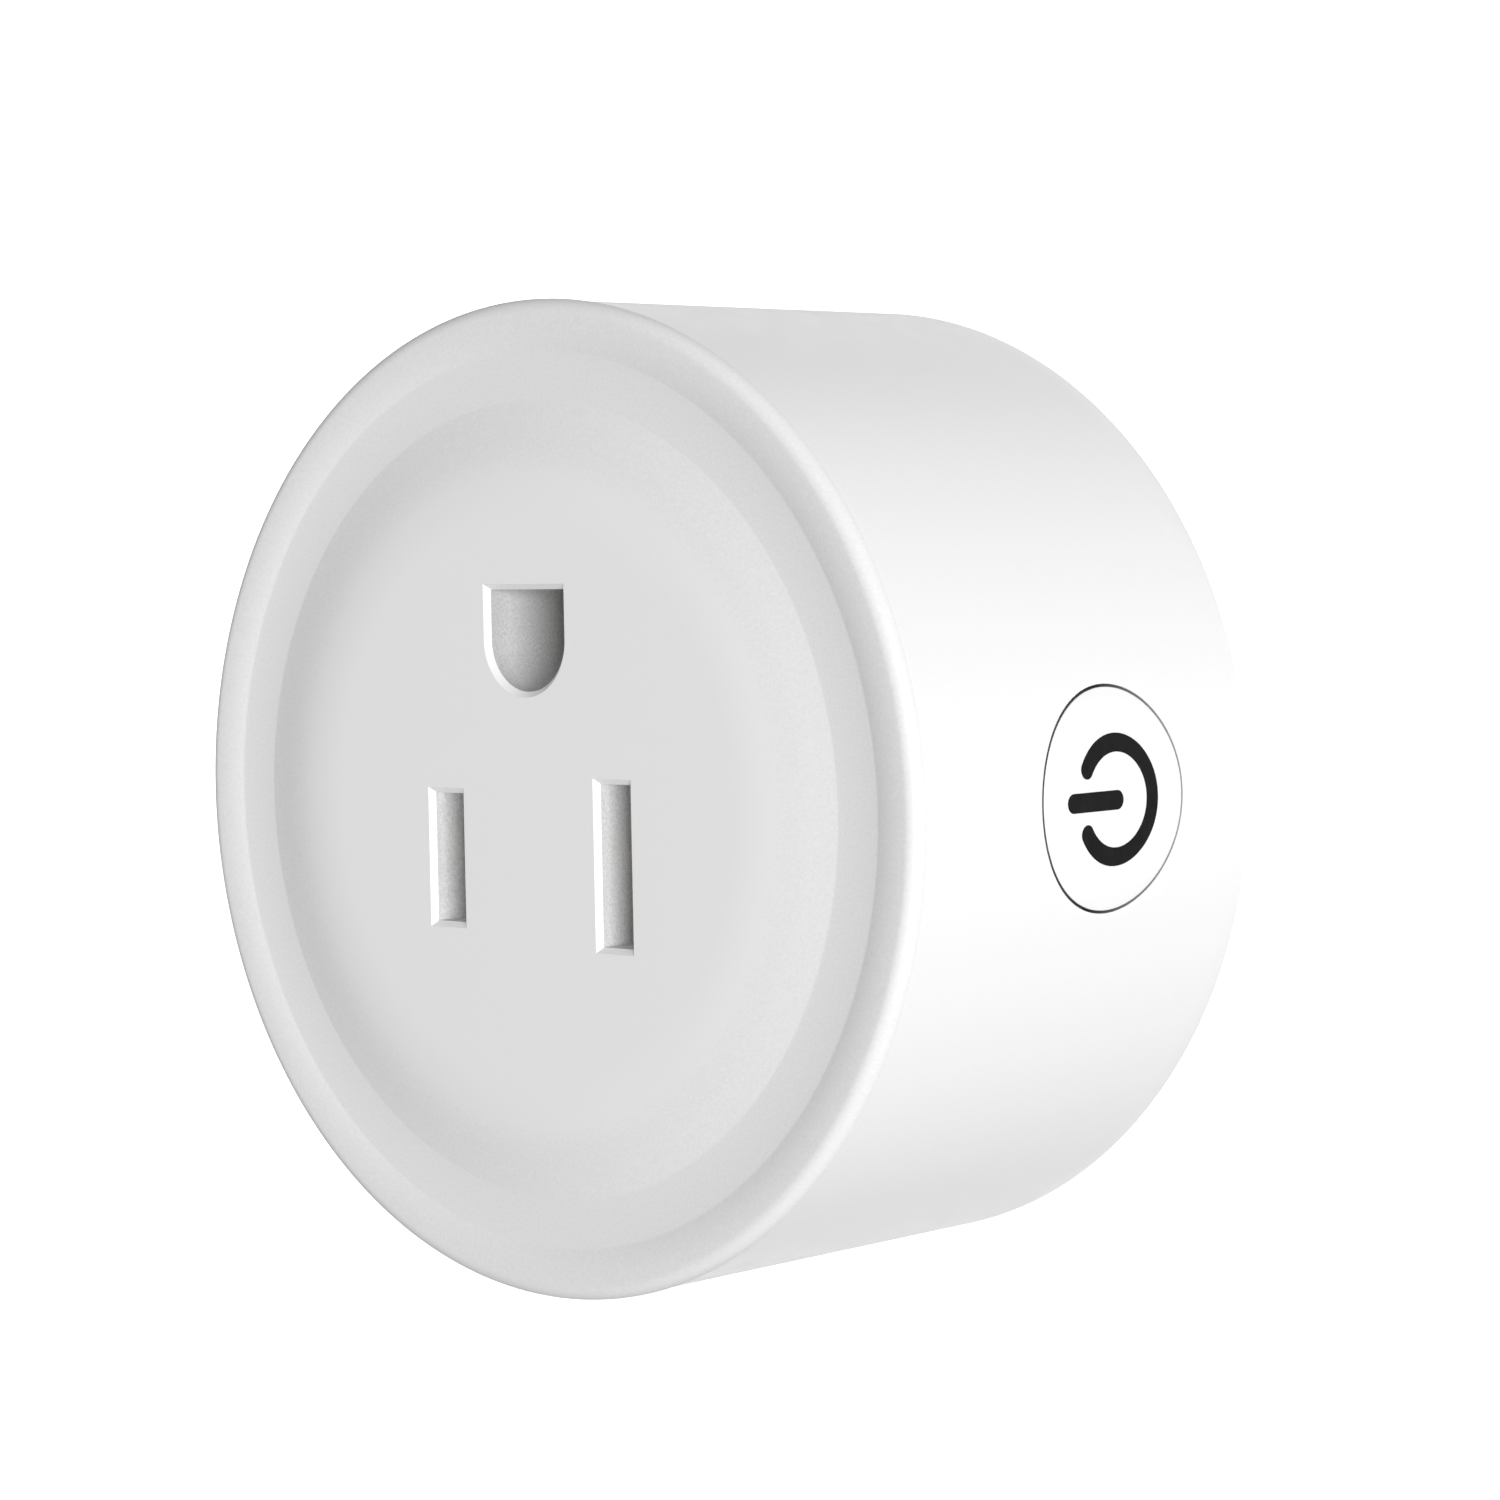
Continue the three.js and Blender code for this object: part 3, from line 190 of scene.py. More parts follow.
def turned(bm, profile, count, centre=(0, 0)):
    """A surface turned round an axis along Y. Ends with no radius are closed at a point."""
    least = 1e-4
    rings = [ring_y(max(r, least), y, count, centre) for r, y in profile]
    first, last = skin(bm, rings)
    for (radius, _), verts in ((profile[0], first), (profile[-1], last)):
        if radius < 10 * least:
            tip = sum((v.co for v in verts), Vector()) / count
            bmesh.ops.pointmerge(bm, verts=verts, merge_co=tip)
    return first, last


def arc(u, v, radius, start, end, steps):
    """Points round (u, v), angles in degrees."""
    found = []
    for i in range(steps + 1):
        t = math.radians(start + (end - start) * i / steps)
        found.append((u + radius * math.cos(t), v + radius * math.sin(t)))
    return found


def rounded(profile, radius, steps):
    """An open profile whose inner corners are rounded off."""
    made = [profile[0]]
    most = 0.45  # share of a side that one rounding may take
    for before, corner, after in zip(profile, profile[1:], profile[2:]):
        a, b, c = Vector(before), Vector(corner), Vector(after)
        cut = min(radius, (a - b).length * most, (c - b).length * most)
        start = b + (a - b).normalized() * cut
        end = b + (c - b).normalized() * cut
        for i in range(steps + 1):
            t = i / steps
            p = start * (1 - t) ** 2 + b * 2 * t * (1 - t) + end * t**2
            made.append((p.x, p.y))
    made.append(profile[-1])
    return made


def finished(name, bm, look, body, nodes=(), sharp=34.0):
    """A new piece from bm: outward faces, smooth shading with sharp edges kept, riding on a body.

    look is one material, or a list of them that the faces' material indices count along. sharp is
    the angle in degrees from which an edge is kept sharp."""
    bmesh.ops.remove_doubles(bm, verts=bm.verts, dist=1e-8)
    bmesh.ops.recalc_face_normals(bm, faces=bm.faces)
    for face in bm.faces:
        face.smooth = True
    for edge in bm.edges:
        edge.smooth = len(edge.link_faces) == 2 and edge.calc_face_angle(0) < math.radians(sharp)
    mesh = bpy.data.meshes.new(name)
    bm.to_mesh(mesh)
    bm.free()
    for material in look if isinstance(look, list) else [look]:
        mesh.materials.append(material)
    obj = bpy.data.objects.new(name, mesh)
    bpy.context.scene.collection.objects.link(obj)
    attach(obj, body)
    if nodes:
        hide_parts(*nodes)


# ---------------------------------------------------------------- materials


# Noise seldom leaves this range, so it is stretched to fill a material's own range.
NOISE_LOW, NOISE_HIGH = 0.3, 0.7


class Nodes:
    """A material's node tree, with its shader and short calls to add to it."""

    def __init__(self, name):
        self.material = bpy.data.materials.new(name)
        self.material.use_nodes = True
        self.tree = self.material.node_tree
        self.shader = self.tree.nodes["Principled BSDF"]
        self.place = self.add("ShaderNodeTexCoord").outputs["Object"]

    def add(self, kind, **settings):
        node = self.tree.nodes.new(kind)
        for key, value in settings.items():
            setattr(node, key, value)
        return node

    def link(self, source, target):
        self.tree.links.new(source, target)

    def set(self, **values):
        for key, value in values.items():
            self.shader.inputs[key.replace("_", " ")].default_value = value

    def noise(self, scale, detail=3.0, roughness=0.5, stretch=None):
        place = self.place
        if stretch:
            mapping = self.add("ShaderNodeMapping")
            mapping.inputs["Scale"].default_value = stretch
            self.link(place, mapping.inputs["Vector"])
            place = mapping.outputs["Vector"]
        node = self.add("ShaderNodeTexNoise")
        node.inputs["Scale"].default_value = scale
        node.inputs["Detail"].default_value = detail
        node.inputs["Roughness"].default_value = roughness
        self.link(place, node.inputs["Vector"])
        return node.outputs["Fac"]

    def rough(self, source, low, high):
        """Roughness that follows a noise from low to high."""
        node = self.add("ShaderNodeMapRange")
        node.inputs["From Min"].default_value = NOISE_LOW
        node.inputs["From Max"].default_value = NOISE_HIGH
        node.inputs["To Min"].default_value = low
        node.inputs["To Max"].default_value = high
        self.link(source, node.inputs["Value"])
        self.link(node.outputs["Result"], self.shader.inputs["Roughness"])

    def colours(self, source, dark, light):
        """A noise as a blend of two colours."""
        node = self.add("ShaderNodeValToRGB")
        node.color_ramp.elements[0].position = NOISE_LOW
        node.color_ramp.elements[0].color = (*dark, 1)
        node.color_ramp.elements[1].position = NOISE_HIGH
        node.color_ramp.elements[1].color = (*light, 1)
        self.link(source, node.inputs["Fac"])
        return node.outputs["Color"]

    def bump(self, height, distance, strength=1.0):
        node = self.add("ShaderNodeBump")
        node.inputs["Distance"].default_value = distance
        node.inputs["Strength"].default_value = strength
        self.link(height, node.inputs["Height"])
        self.link(node.outputs["Normal"], self.shader.inputs["Normal"])


def grey(level):
    return (level, level, level)


def moulded(name, colour, roughness, grain, depth, spread=0.012):
    """Moulded plastic: faint speckle in colour and gloss, and a fine spark-eroded grain."""
    nodes = Nodes(name)
    drift = nodes.noise(6000.0, 3.0, 0.7)
    dark = tuple(c * (1 - spread) for c in colour)
    light = tuple(min(1.0, c * (1 + spread)) for c in colour)
    nodes.link(nodes.colours(drift, dark, light), nodes.shader.inputs["Base Color"])
    nodes.rough(nodes.noise(600.0), roughness * 0.92, roughness * 1.08)
    nodes.bump(nodes.noise(grain, 2.0, 0.6), depth)
    nodes.set(IOR=1.5)
    return nodes.material


def metal(name, colour, roughness, stretch=(1, 1, 1), tarnish=0.12):
    """Worked metal: drawn or brushed lines along the axis of the least stretch, and slight tarnish."""
    nodes = Nodes(name)
    stain = nodes.noise(420.0, 4.0, 0.6)
    dark = tuple(c * (1 - tarnish) for c in colour)
    nodes.link(nodes.colours(stain, dark, colour), nodes.shader.inputs["Base Color"])
    lines = nodes.noise(2600.0, 3.0, 0.6, stretch)
    nodes.rough(lines, roughness * 0.75, roughness * 1.3)
    nodes.bump(lines, 0.0000012)
    nodes.set(Metallic=1.0)
    return nodes.material


def laminate(name, mask, copper):
    """Circuit board: solder mask over irregular areas of copper, darker in the gaps between them."""
    nodes = Nodes(name)
    cells = nodes.add("ShaderNodeTexVoronoi", feature="DISTANCE_TO_EDGE", distance="CHEBYCHEV")
    cells.inputs["Scale"].default_value = 420.0
    nodes.link(nodes.place, cells.inputs["Vector"])
    ramp = nodes.add("ShaderNodeValToRGB")
    ramp.color_ramp.interpolation = "EASE"
    ramp.color_ramp.elements[0].position = 0.05
    ramp.color_ramp.elements[0].color = (*mask, 1)
    ramp.color_ramp.elements[1].position = 0.09
    ramp.color_ramp.elements[1].color = (*copper, 1)
    nodes.link(cells.outputs["Distance"], ramp.inputs["Fac"])
    nodes.link(ramp.outputs["Color"], nodes.shader.inputs["Base Color"])
    nodes.rough(nodes.noise(900.0), 0.32, 0.42)
    nodes.bump(cells.outputs["Distance"], 0.00002, 0.25)
    return nodes.material


def wound(name, colour, pitch, axis):
    """Turns of enamelled wire wound round an axis, with painted shade in the grooves between them."""
    nodes = Nodes(name)
    wave = nodes.add("ShaderNodeTexWave", bands_direction=axis, wave_profile="SIN")
    wave.inputs["Scale"].default_value = 1.0 / (pitch * MM) / (2 * math.pi)
    wave.inputs["Distortion"].default_value = 0.15
    nodes.link(nodes.place, wave.inputs["Vector"])
    # Painted shade: the wire darkens in the grooves between its turns.
    dark = tuple(c * 0.35 for c in colour)
    nodes.link(nodes.colours(wave.outputs["Fac"], dark, colour), nodes.shader.inputs["Base Color"])
    nodes.rough(nodes.noise(1500.0), 0.25, 0.4)
    nodes.bump(wave.outputs["Fac"], 0.00008)
    nodes.set(Metallic=0.75, Coat_Weight=0.4, Coat_Roughness=0.15)
    return nodes.material


def speckled(name, dark, light, scale, roughness, depth=0.000004):
    """Epoxy, ferrite, sleeve, ink or painted gap shade: a speckle in colour and a fine uneven surface.
    """
    nodes = Nodes(name)
    speck = nodes.noise(scale, 5.0, 0.7)
    nodes.link(nodes.colours(speck, dark, light), nodes.shader.inputs["Base Color"])
    nodes.rough(nodes.noise(scale * 0.4), roughness * 0.85, roughness * 1.15)
    nodes.bump(speck, depth)
    return nodes.material


def front_white(name, colour, roughness):
    """The front cover's plastic: smooth in the flat centre, grained and a little darker outside."""
    nodes = Nodes(name)
    axes = nodes.add("ShaderNodeSeparateXYZ")
    nodes.link(nodes.place, axes.inputs["Vector"])
    flat = nodes.add("ShaderNodeCombineXYZ")
    nodes.link(axes.outputs["X"], flat.inputs["X"])
    nodes.link(axes.outputs["Z"], flat.inputs["Z"])
    radius = nodes.add("ShaderNodeVectorMath", operation="LENGTH")
    nodes.link(flat.outputs["Vector"], radius.inputs[0])
    outside = nodes.add("ShaderNodeMapRange", interpolation_type="SMOOTHSTEP")
    outside.inputs["From Min"].default_value = DOME_FLAT * MM
    outside.inputs["From Max"].default_value = GRAIN_FULL * MM
    nodes.link(radius.outputs["Value"], outside.inputs["Value"])
    grain = nodes.add("ShaderNodeMath", operation="MULTIPLY")
    nodes.link(nodes.noise(5200.0, 2.0, 0.7), grain.inputs[0])
    nodes.link(outside.outputs["Result"], grain.inputs[1])
    shade = nodes.add("ShaderNodeMapRange")
    shade.inputs["To Min"].default_value = 1.0
    shade.inputs["To Max"].default_value = 0.98
    nodes.link(outside.outputs["Result"], shade.inputs["Value"])
    tint = nodes.add("ShaderNodeVectorMath", operation="SCALE")
    speck = nodes.add("ShaderNodeMapRange")
    nodes.link(nodes.noise(6000.0, 3.0, 0.75), speck.inputs["Value"])
    nodes.link(outside.outputs["Result"], speck.inputs["To Max"])
    dark, light = (tuple(c * k for c in colour) for k in (1.0, 0.91))
    nodes.link(nodes.colours(speck.outputs["Result"], dark, light), tint.inputs[0])
    nodes.link(shade.outputs["Result"], tint.inputs["Scale"])
    nodes.link(tint.outputs["Vector"], nodes.shader.inputs["Base Color"])
    nodes.rough(nodes.noise(600.0), roughness * 0.95, roughness * 1.05)
    nodes.bump(grain.outputs["Value"], 0.000004)
    nodes.set(IOR=1.5)
    return nodes.material


def painted_well_shading(name, near, far, deep):
    """Walls of a socket opening: coarse grain, painted shade at the rim, painted light at a depth of
    deep.
    """
    nodes = Nodes(name)
    grain = nodes.noise(6500.0, 3.0, 0.75)
    axes = nodes.add("ShaderNodeSeparateXYZ")
    nodes.link(nodes.place, axes.inputs["Vector"])
    # Painted shading by depth: darker near the rim, brighter towards deep, to even out the opening's
    # shade.
    depth = nodes.add("ShaderNodeMapRange")
    depth.inputs["From Min"].default_value = (FACE_Y + CHAMFER) * MM
    depth.inputs["From Max"].default_value = (FACE_Y + deep) * MM
    depth.inputs["To Min"].default_value = near
    depth.inputs["To Max"].default_value = far
    nodes.link(axes.outputs["Y"], depth.inputs["Value"])
    tint = nodes.add("ShaderNodeVectorMath", operation="SCALE")
    nodes.link(nodes.colours(grain, grey(0.7), grey(1.0)), tint.inputs[0])
    nodes.link(depth.outputs["Result"], tint.inputs["Scale"])
    nodes.link(tint.outputs["Vector"], nodes.shader.inputs["Base Color"])
    nodes.rough(nodes.noise(900.0), 0.55, 0.65)
    nodes.bump(grain, 0.00001)
    return nodes.material


WHITE = grey(0.83)
looks = {
    "gloss_white_plastic": moulded("housing white", WHITE, 0.34, 7000.0, 0.000003),
    "matt_white_plastic": front_white("front cover white", WHITE, 0.42),
    "cover_white_plastic": moulded("rear cover white", (0.80, 0.80, 0.79), 0.5, 4200.0, 0.000006),
    "carrier_plastic": moulded("carrier nylon", (0.78, 0.76, 0.69), 0.55, 3500.0, 0.000006, 0.03),
    "plated_brass": metal("plated brass", (0.83, 0.77, 0.61), 0.22, (1.0, 0.06, 1.0), tarnish=0.05),
    "contact_bronze": metal("contact bronze", (0.76, 0.48, 0.24), 0.3, (1.0, 0.1, 1.0)),
    "screw_steel": metal("zinc plated steel", (0.62, 0.63, 0.65), 0.3),
    "shield_metal": metal("tinned sheet", (0.72, 0.72, 0.70), 0.26, (1.0, 1.0, 0.08)),
    "relay_iron": metal("plated iron", (0.46, 0.46, 0.48), 0.38, (1.0, 0.15, 1.0)),
    "green_laminate": laminate("green board", (0.012, 0.11, 0.035), (0.02, 0.19, 0.06)),
    "blue_laminate": laminate("radio board", (0.008, 0.02, 0.07), (0.014, 0.04, 0.13)),
    "capacitor_sleeve": speckled("sleeve", (0.012, 0.014, 0.02), (0.03, 0.034, 0.045), 300.0, 0.3),
    "film_capacitor_case": speckled("film case", (0.62, 0.36, 0.02), (0.78, 0.49, 0.04), 700.0, 0.4),
    "varistor_coating": speckled(
        "varistor", (0.014, 0.07, 0.26), (0.03, 0.12, 0.38), 350.0, 0.28, 0.00001
    ),
    "fuse_case": speckled("fuse case", (0.09, 0.035, 0.015), (0.15, 0.065, 0.03), 900.0, 0.5),
    "ferrite": speckled("ferrite", (0.025, 0.025, 0.028), (0.06, 0.06, 0.066), 1400.0, 0.6, 0.00001),
    "copper_wire": wound("enamelled wire", (0.62, 0.22, 0.07), 0.3, "Y"),
    "relay_plastic": speckled("relay case", (0.012, 0.013, 0.016), (0.03, 0.032, 0.038), 1100.0, 0.36),
    "bobbin_plastic": moulded("bobbin nylon", (0.66, 0.62, 0.5), 0.5, 3500.0, 0.000005, 0.03),
    "chip_epoxy": speckled("chip epoxy", (0.008, 0.008, 0.009), (0.022, 0.022, 0.025), 1800.0, 0.5),
    "led_lens": moulded("milky lens", (0.86, 0.84, 0.74), 0.2, 5000.0, 0.000001, 0.03),
}
ink = speckled("printing ink", grey(0.004), grey(0.007), 2500.0, 0.5, 0.000002)
ink.node_tree.nodes["Principled BSDF"].inputs["Specular IOR Level"].default_value = 0.08
# Painted shade: the walls of the button's gap are dark grey, the cap's darker than the hole's.
cap_gap_painted_shade = speckled("cap gap painted shade", grey(0.08), grey(0.14), 3000.0, 0.6)
hole_gap_painted_shade = speckled("button hole gap painted shade", grey(0.42), grey(0.52), 3000.0, 0.6)
# Painted shading in the socket openings: grey walls near the rim, brighter deeper down.
slot_wall_painted_shading = painted_well_shading("slot wall painted shading", 0.76, 1.0, 2.3)
ground_wall_painted_shading = painted_well_shading("ground hole wall painted shading", 0.6, 1.0, 5.5)

# ---------------------------------------------------------------- front cover

COVER_TURN = 256


def opening_loops():
    """Each socket opening as a function of how far it is widened, giving points (x, z)."""

    def slot(x, length):
        def outline(margin):
            return rectangle(x, BLADE_ROW_Z, SLOT_W / 2 + margin, length / 2 + margin)

        return outline

    def ground(margin):
        r, top = GROUND_R + margin, GROUND_Z + GROUND_FLAT + margin
        return [(r, top), (-r, top)] + arc(0, GROUND_Z, r, 180, 360, 48)

    return slot(-BLADE_X, LINE_SLOT), slot(BLADE_X, NEUTRAL_SLOT), ground


def at_depth(points, depth):
    """Points (x, z) set at a depth behind the socket face."""
    return at_y(points, FACE_Y + depth)


def front_profile():
    """(radius, depth behind the socket face) from the flat centre out to the rim's rear edge."""
    # The slope grows evenly through the bend and then stays at its steepest down to the foot.
    bend = DOME_STRAIGHT - DOME_FLAT
    steepest = RING_RECESS / (bend / 2 + DOME_FOOT - DOME_STRAIGHT)
    made = []
    steps = 24
    for i in range(steps + 1):
        run = bend * i / steps
        made.append((DOME_FLAT + run, steepest * run * run / (2 * bend)))
    soft = 0.06  # half width of the softened creases
    # The softened crease at the slope's foot, and the flat ring.
    made += [
        (DOME_FOOT - soft, RING_RECESS - steepest * soft),
        (DOME_FOOT - soft * 0.2, RING_RECESS - steepest * soft * 0.35),
        (DOME_FOOT + soft, RING_RECESS),
        (RING_OUTER - soft, RING_RECESS),
    ]
    # The lip rises steeply from the ring and levels off at its crest.
    rise, run = RING_RECESS - LIP_RECESS, LIP_CREST - RING_OUTER
    steps = 20
    for i in range(steps + 1):
        t = max(i / steps, soft / run)
        made.append((RING_OUTER + run * t, LIP_RECESS + rise * (1 - t) ** 2))
    fillet = RIM_R - LIP_CREST
    made += arc(LIP_CREST, LIP_RECESS + fillet, fillet, -90, 0, 18)[1:]
    draft = 0.02
    made.append((RIM_R - draft, RIM_BACK))
    return made


def front_cover():
    """The socket's front: the face with its openings, the plug and skirt behind it, and two posts."""
    bm = bmesh.new()
    plug, soft, skirt_out, skirt_in, skirt_end = 24.9, 0.2, 22.6, 21.4, PLATE_BACK + 1.7
    profile = front_profile() + [
        (plug, RIM_BACK),
        (plug, PLATE_BACK - soft),
        (plug - soft, PLATE_BACK),
        (skirt_out, PLATE_BACK),
        (skirt_out, skirt_end),
        (skirt_in, skirt_end),
        (skirt_in, PLATE_BACK),
    ]
    rings = [ring_y(r, FACE_Y + depth, COVER_TURN) for r, depth in profile]
    face_edge, back_edge = skin(bm, rings)
    mouths, backs = [], []
    line, neutral, ground = opening_loops()
    # Each opening as steps of (widening, depth). The ground hole goes on into a guide tube.
    plain = [(CHAMFER, 0), (0, CHAMFER), (0, PLATE_BACK)]
    tube = [(CHAMFER, 0), (0, CHAMFER), (0, GUIDE_DEPTH)]
    tube += [(GUIDE_WALL, GUIDE_DEPTH), (GUIDE_WALL, PLATE_BACK)]
    for outline, steps in ((line, plain), (neutral, plain), (ground, tube)):
        mouth, back = skin(bm, [at_depth(outline(margin), depth) for margin, depth in steps])
        mouths.append(mouth)
        backs.append(back)
    # The posts that the carrier's screws go into.
    post_r, pilot_r, post_end, pilot_end = 1.9, 1.1, 7.05, PLATE_BACK + 0.2
    post = [(post_r, PLATE_BACK), (post_r, post_end), (pilot_r, post_end), (pilot_r, pilot_end)]
    for n in (1, 2):
        place = [centre_of(f"carrier_screw_{n}", axis) for axis in (X, Z)]
        foot, pit = skin(bm, [at_depth(circle(r, 32, place), d) for r, d in post])
        fill(bm, pit)
        backs.append(foot)
    fill(bm, face_edge, *mouths)
    fill(bm, back_edge, *backs)
    # The openings' walls take the painted shading: slots below the openings' middle, the ground hole
    # above.
    farthest, split = 13, 2
    for face in bm.faces:
        centre = face.calc_center_median() / MM
        in_well = math.hypot(centre.x, centre.z) < farthest and centre.y > FACE_Y + CHAMFER
        if in_well and abs(face.normal.y) < 0.1:
            face.material_index = 1 if centre.z < split else 2
    look = [looks["matt_white_plastic"], slot_wall_painted_shading, ground_wall_painted_shading]
    finished("front_cover", bm, look, "plug_body", ["faceplate"], 20.0)


# ---------------------------------------------------------------- housing

HOUSING_TURN = 256
HOLE_START = math.radians(225)  # the corner of a hole's patch, where its edge starts, in (z, y)


def on_cylinder(radius, y, angle):
    return (radius * math.cos(angle), y, radius * math.sin(angle))


def pierced_wall(bm, radius, hole, half_steps, half_height, ys_front, ys_back, rings=6):
    """A round wall of quads with a round hole where the button is.

    The wall is a grid of HOUSING_TURN columns. The hole sits in a square patch of it, half_steps
    columns either side of +X and half_height millimetres either side of the button's axis.
    Returns the hole's edge and the wall's front and back edges, as loops."""
    turn = 2 * math.pi / HOUSING_TURN
    across = 2 * half_steps
    ys_patch = [BUTTON_Y - half_height + 2 * half_height * i / across for i in range(across + 1)]
    rows = ys_front + ys_patch + ys_back
    first, last = len(ys_front), len(ys_front) + across
    outside_patch = range(half_steps, HOUSING_TURN - half_steps + 1)
    grid = []
    for r, y in enumerate(rows):
        columns = outside_patch if first < r < last else range(HOUSING_TURN)
        grid.append({c: bm.verts.new(Vector(on_cylinder(radius, y, c * turn)) * MM) for c in columns})
    for r in range(len(rows) - 1):
        for c in range(HOUSING_TURN):
            inside = c < half_steps or c >= HOUSING_TURN - half_steps
            if first <= r < last and inside:
                continue
            d = (c + 1) % HOUSING_TURN
            bm.faces.new((grid[r][c], grid[r][d], grid[r + 1][d], grid[r + 1][c]))
    border = [grid[first][c % HOUSING_TURN] for c in range(-half_steps, half_steps)]
    border += [grid[r][half_steps] for r in range(first, last)]
    border += [grid[last][c % HOUSING_TURN] for c in range(half_steps, -half_steps, -1)]
    border += [grid[r][-half_steps % HOUSING_TURN] for r in range(last, first, -1)]
    outer = border
    # Rings that turn step by step from the patch's square border into the round hole.
    for k in range(1, rings + 1):
        t = k / rings
        points = []
        for vert, (y1, z1) in zip(border, hole_edge(hole, len(border))):
            z = vert.co.z / MM * (1 - t) + z1 * t
            y = vert.co.y / MM * (1 - t) + y1 * t
            points.append((wall_x(z, radius), y, z))
        inner = loop(bm, points)
        bridge(bm, outer, inner)
        outer = inner
    return outer, list(grid[0].values()), list(grid[-1].values())


def hole_edge(radius, count):
    """Points (y, z) round the button's axis, in the order that a hole's edge has in its patch."""
    angles = [HOLE_START + 2 * math.pi * i / count for i in range(count)]
    return [(BUTTON_Y + radius * math.sin(a), radius * math.cos(a)) for a in angles]


def mark_gap_painted_shade(bm):
    """The gap round the button: the walls a piece gives it take its second material, a painted shade.
    """
    below_edge, slack = 0.045, 0.02
    for face in bm.faces:
        centre = face.calc_center_median() / MM
        radius = math.hypot(centre.y - BUTTON_Y, centre.z)
        deep = FLANGE_TOP < centre.x < wall_x(centre.z) - below_edge
        if deep and BUTTON_R - slack < radius < BUTTON_HOLE + slack:
            face.material_index = 1


def screw_places():
    """Each cover screw's number and its place (x, z)."""
    for i, angle in enumerate(SCREW_ANGLES):
        a = math.radians(angle)
        yield i + 1, SCREW_CIRCLE * math.cos(a), SCREW_CIRCLE * math.sin(a)


def screw_boss(bm, angle, x, z):
    """A boss with a screw pilot, and the web that joins it to the wall."""
    boss_r, pilot_r, seat_y, pilot_y, foot_y = 2.4, 1.15, -2.4, -10.0, -10.8
    boss = [(pilot_r, pilot_y), (pilot_r, seat_y), (boss_r, seat_y), (boss_r, foot_y)]
    pit, foot = skin(bm, [ring_y(r, y, 32, (x, z)) for r, y in boss])
    fill(bm, pit)
    fill(bm, foot)
    near_r, far_r, half = 22.6, INNER_R + 0.3, 1.9
    corners = [(near_r, -half), (near_r, half), (far_r, half), (far_r, -half)]
    c, s = math.cos(angle), math.sin(angle)
    section = [(out * c - side * s, out * s + side * c) for out, side in corners]
    near, far = skin(bm, [at_y(section, y) for y in (-10.4, -2.6)])
    fill(bm, near)
    fill(bm, far)


def housing():
    """The round sleeve, with a seat for the front cover, the button's hole and the screw bosses."""
    bm = bmesh.new()
    hole_soft, front_soft, rear_soft, inner_soft = 0.05, 0.04, 0.3, 0.05  # roundings of the edges
    collar_r, seat_x = 7.7, FLANGE_TOP + 0.05
    half_steps, patch, inner_patch = 12, 7.8, 8.6
    front_rows = [FRONT_EDGE_Y + front_soft, -26.4, -24.2, -22.0]
    rear_rows = [-2.8, -1.4, -rear_soft]
    hole_r = BUTTON_HOLE + hole_soft
    outer, front, back = pierced_wall(bm, BODY_R, hole_r, half_steps, patch, front_rows, rear_rows)
    count = len(outer)
    for r, rise in arc(hole_r, -hole_soft, hole_soft, 90, 180, 4)[1:]:
        inner = loop(bm, [(wall_x(z) + rise, y, z) for y, z in hole_edge(r, count)])
        bridge(bm, outer, inner)
        outer = inner
    for r in (BUTTON_HOLE, collar_r):
        inner = loop(bm, [(seat_x, y, z) for y, z in hole_edge(r, count)])
        bridge(bm, outer, inner)
        outer = inner
    # Inner wall, with the collar's foot as its hole. Its patch has as many border points.
    foot, inner_front, inner_back = pierced_wall(
        bm, INNER_R, collar_r, half_steps, inner_patch, [-22.3, -21.5], [-3.0, -2.4], 3
    )
    bridge(bm, outer, foot)
    ledge_r, ledge_back, ledge_front = 22.7, -24.6, -25.8
    front_end = [
        (ledge_r, ledge_back),
        (ledge_r, ledge_front),
        (INNER_R, ledge_front),
        (INNER_R, FRONT_EDGE_Y),
        (BODY_R - front_soft, FRONT_EDGE_Y),
    ]
    rear_end = arc(BODY_R - rear_soft, -rear_soft, rear_soft, 0, 90, 5)[1:]
    rear_end += [(INNER_R + inner_soft, 0), (INNER_R, -inner_soft)]
    for start, profile, end in ((inner_front, front_end, front), (back, rear_end, inner_back)):
        previous = start
        for r, y in profile:
            ring = loop(bm, ring_y(r, y, HOUSING_TURN))
            bridge(bm, previous, ring)
            previous = ring
        bridge(bm, previous, end)
    for angle, (_, x, z) in zip(SCREW_ANGLES, screw_places()):
        screw_boss(bm, math.radians(angle), x, z)
    mark_gap_painted_shade(bm)
    look = [looks["gloss_white_plastic"], hole_gap_painted_shade]
    finished("housing_shell", bm, look, "plug_body", ["housing"], 30.0)


# ---------------------------------------------------------------- button


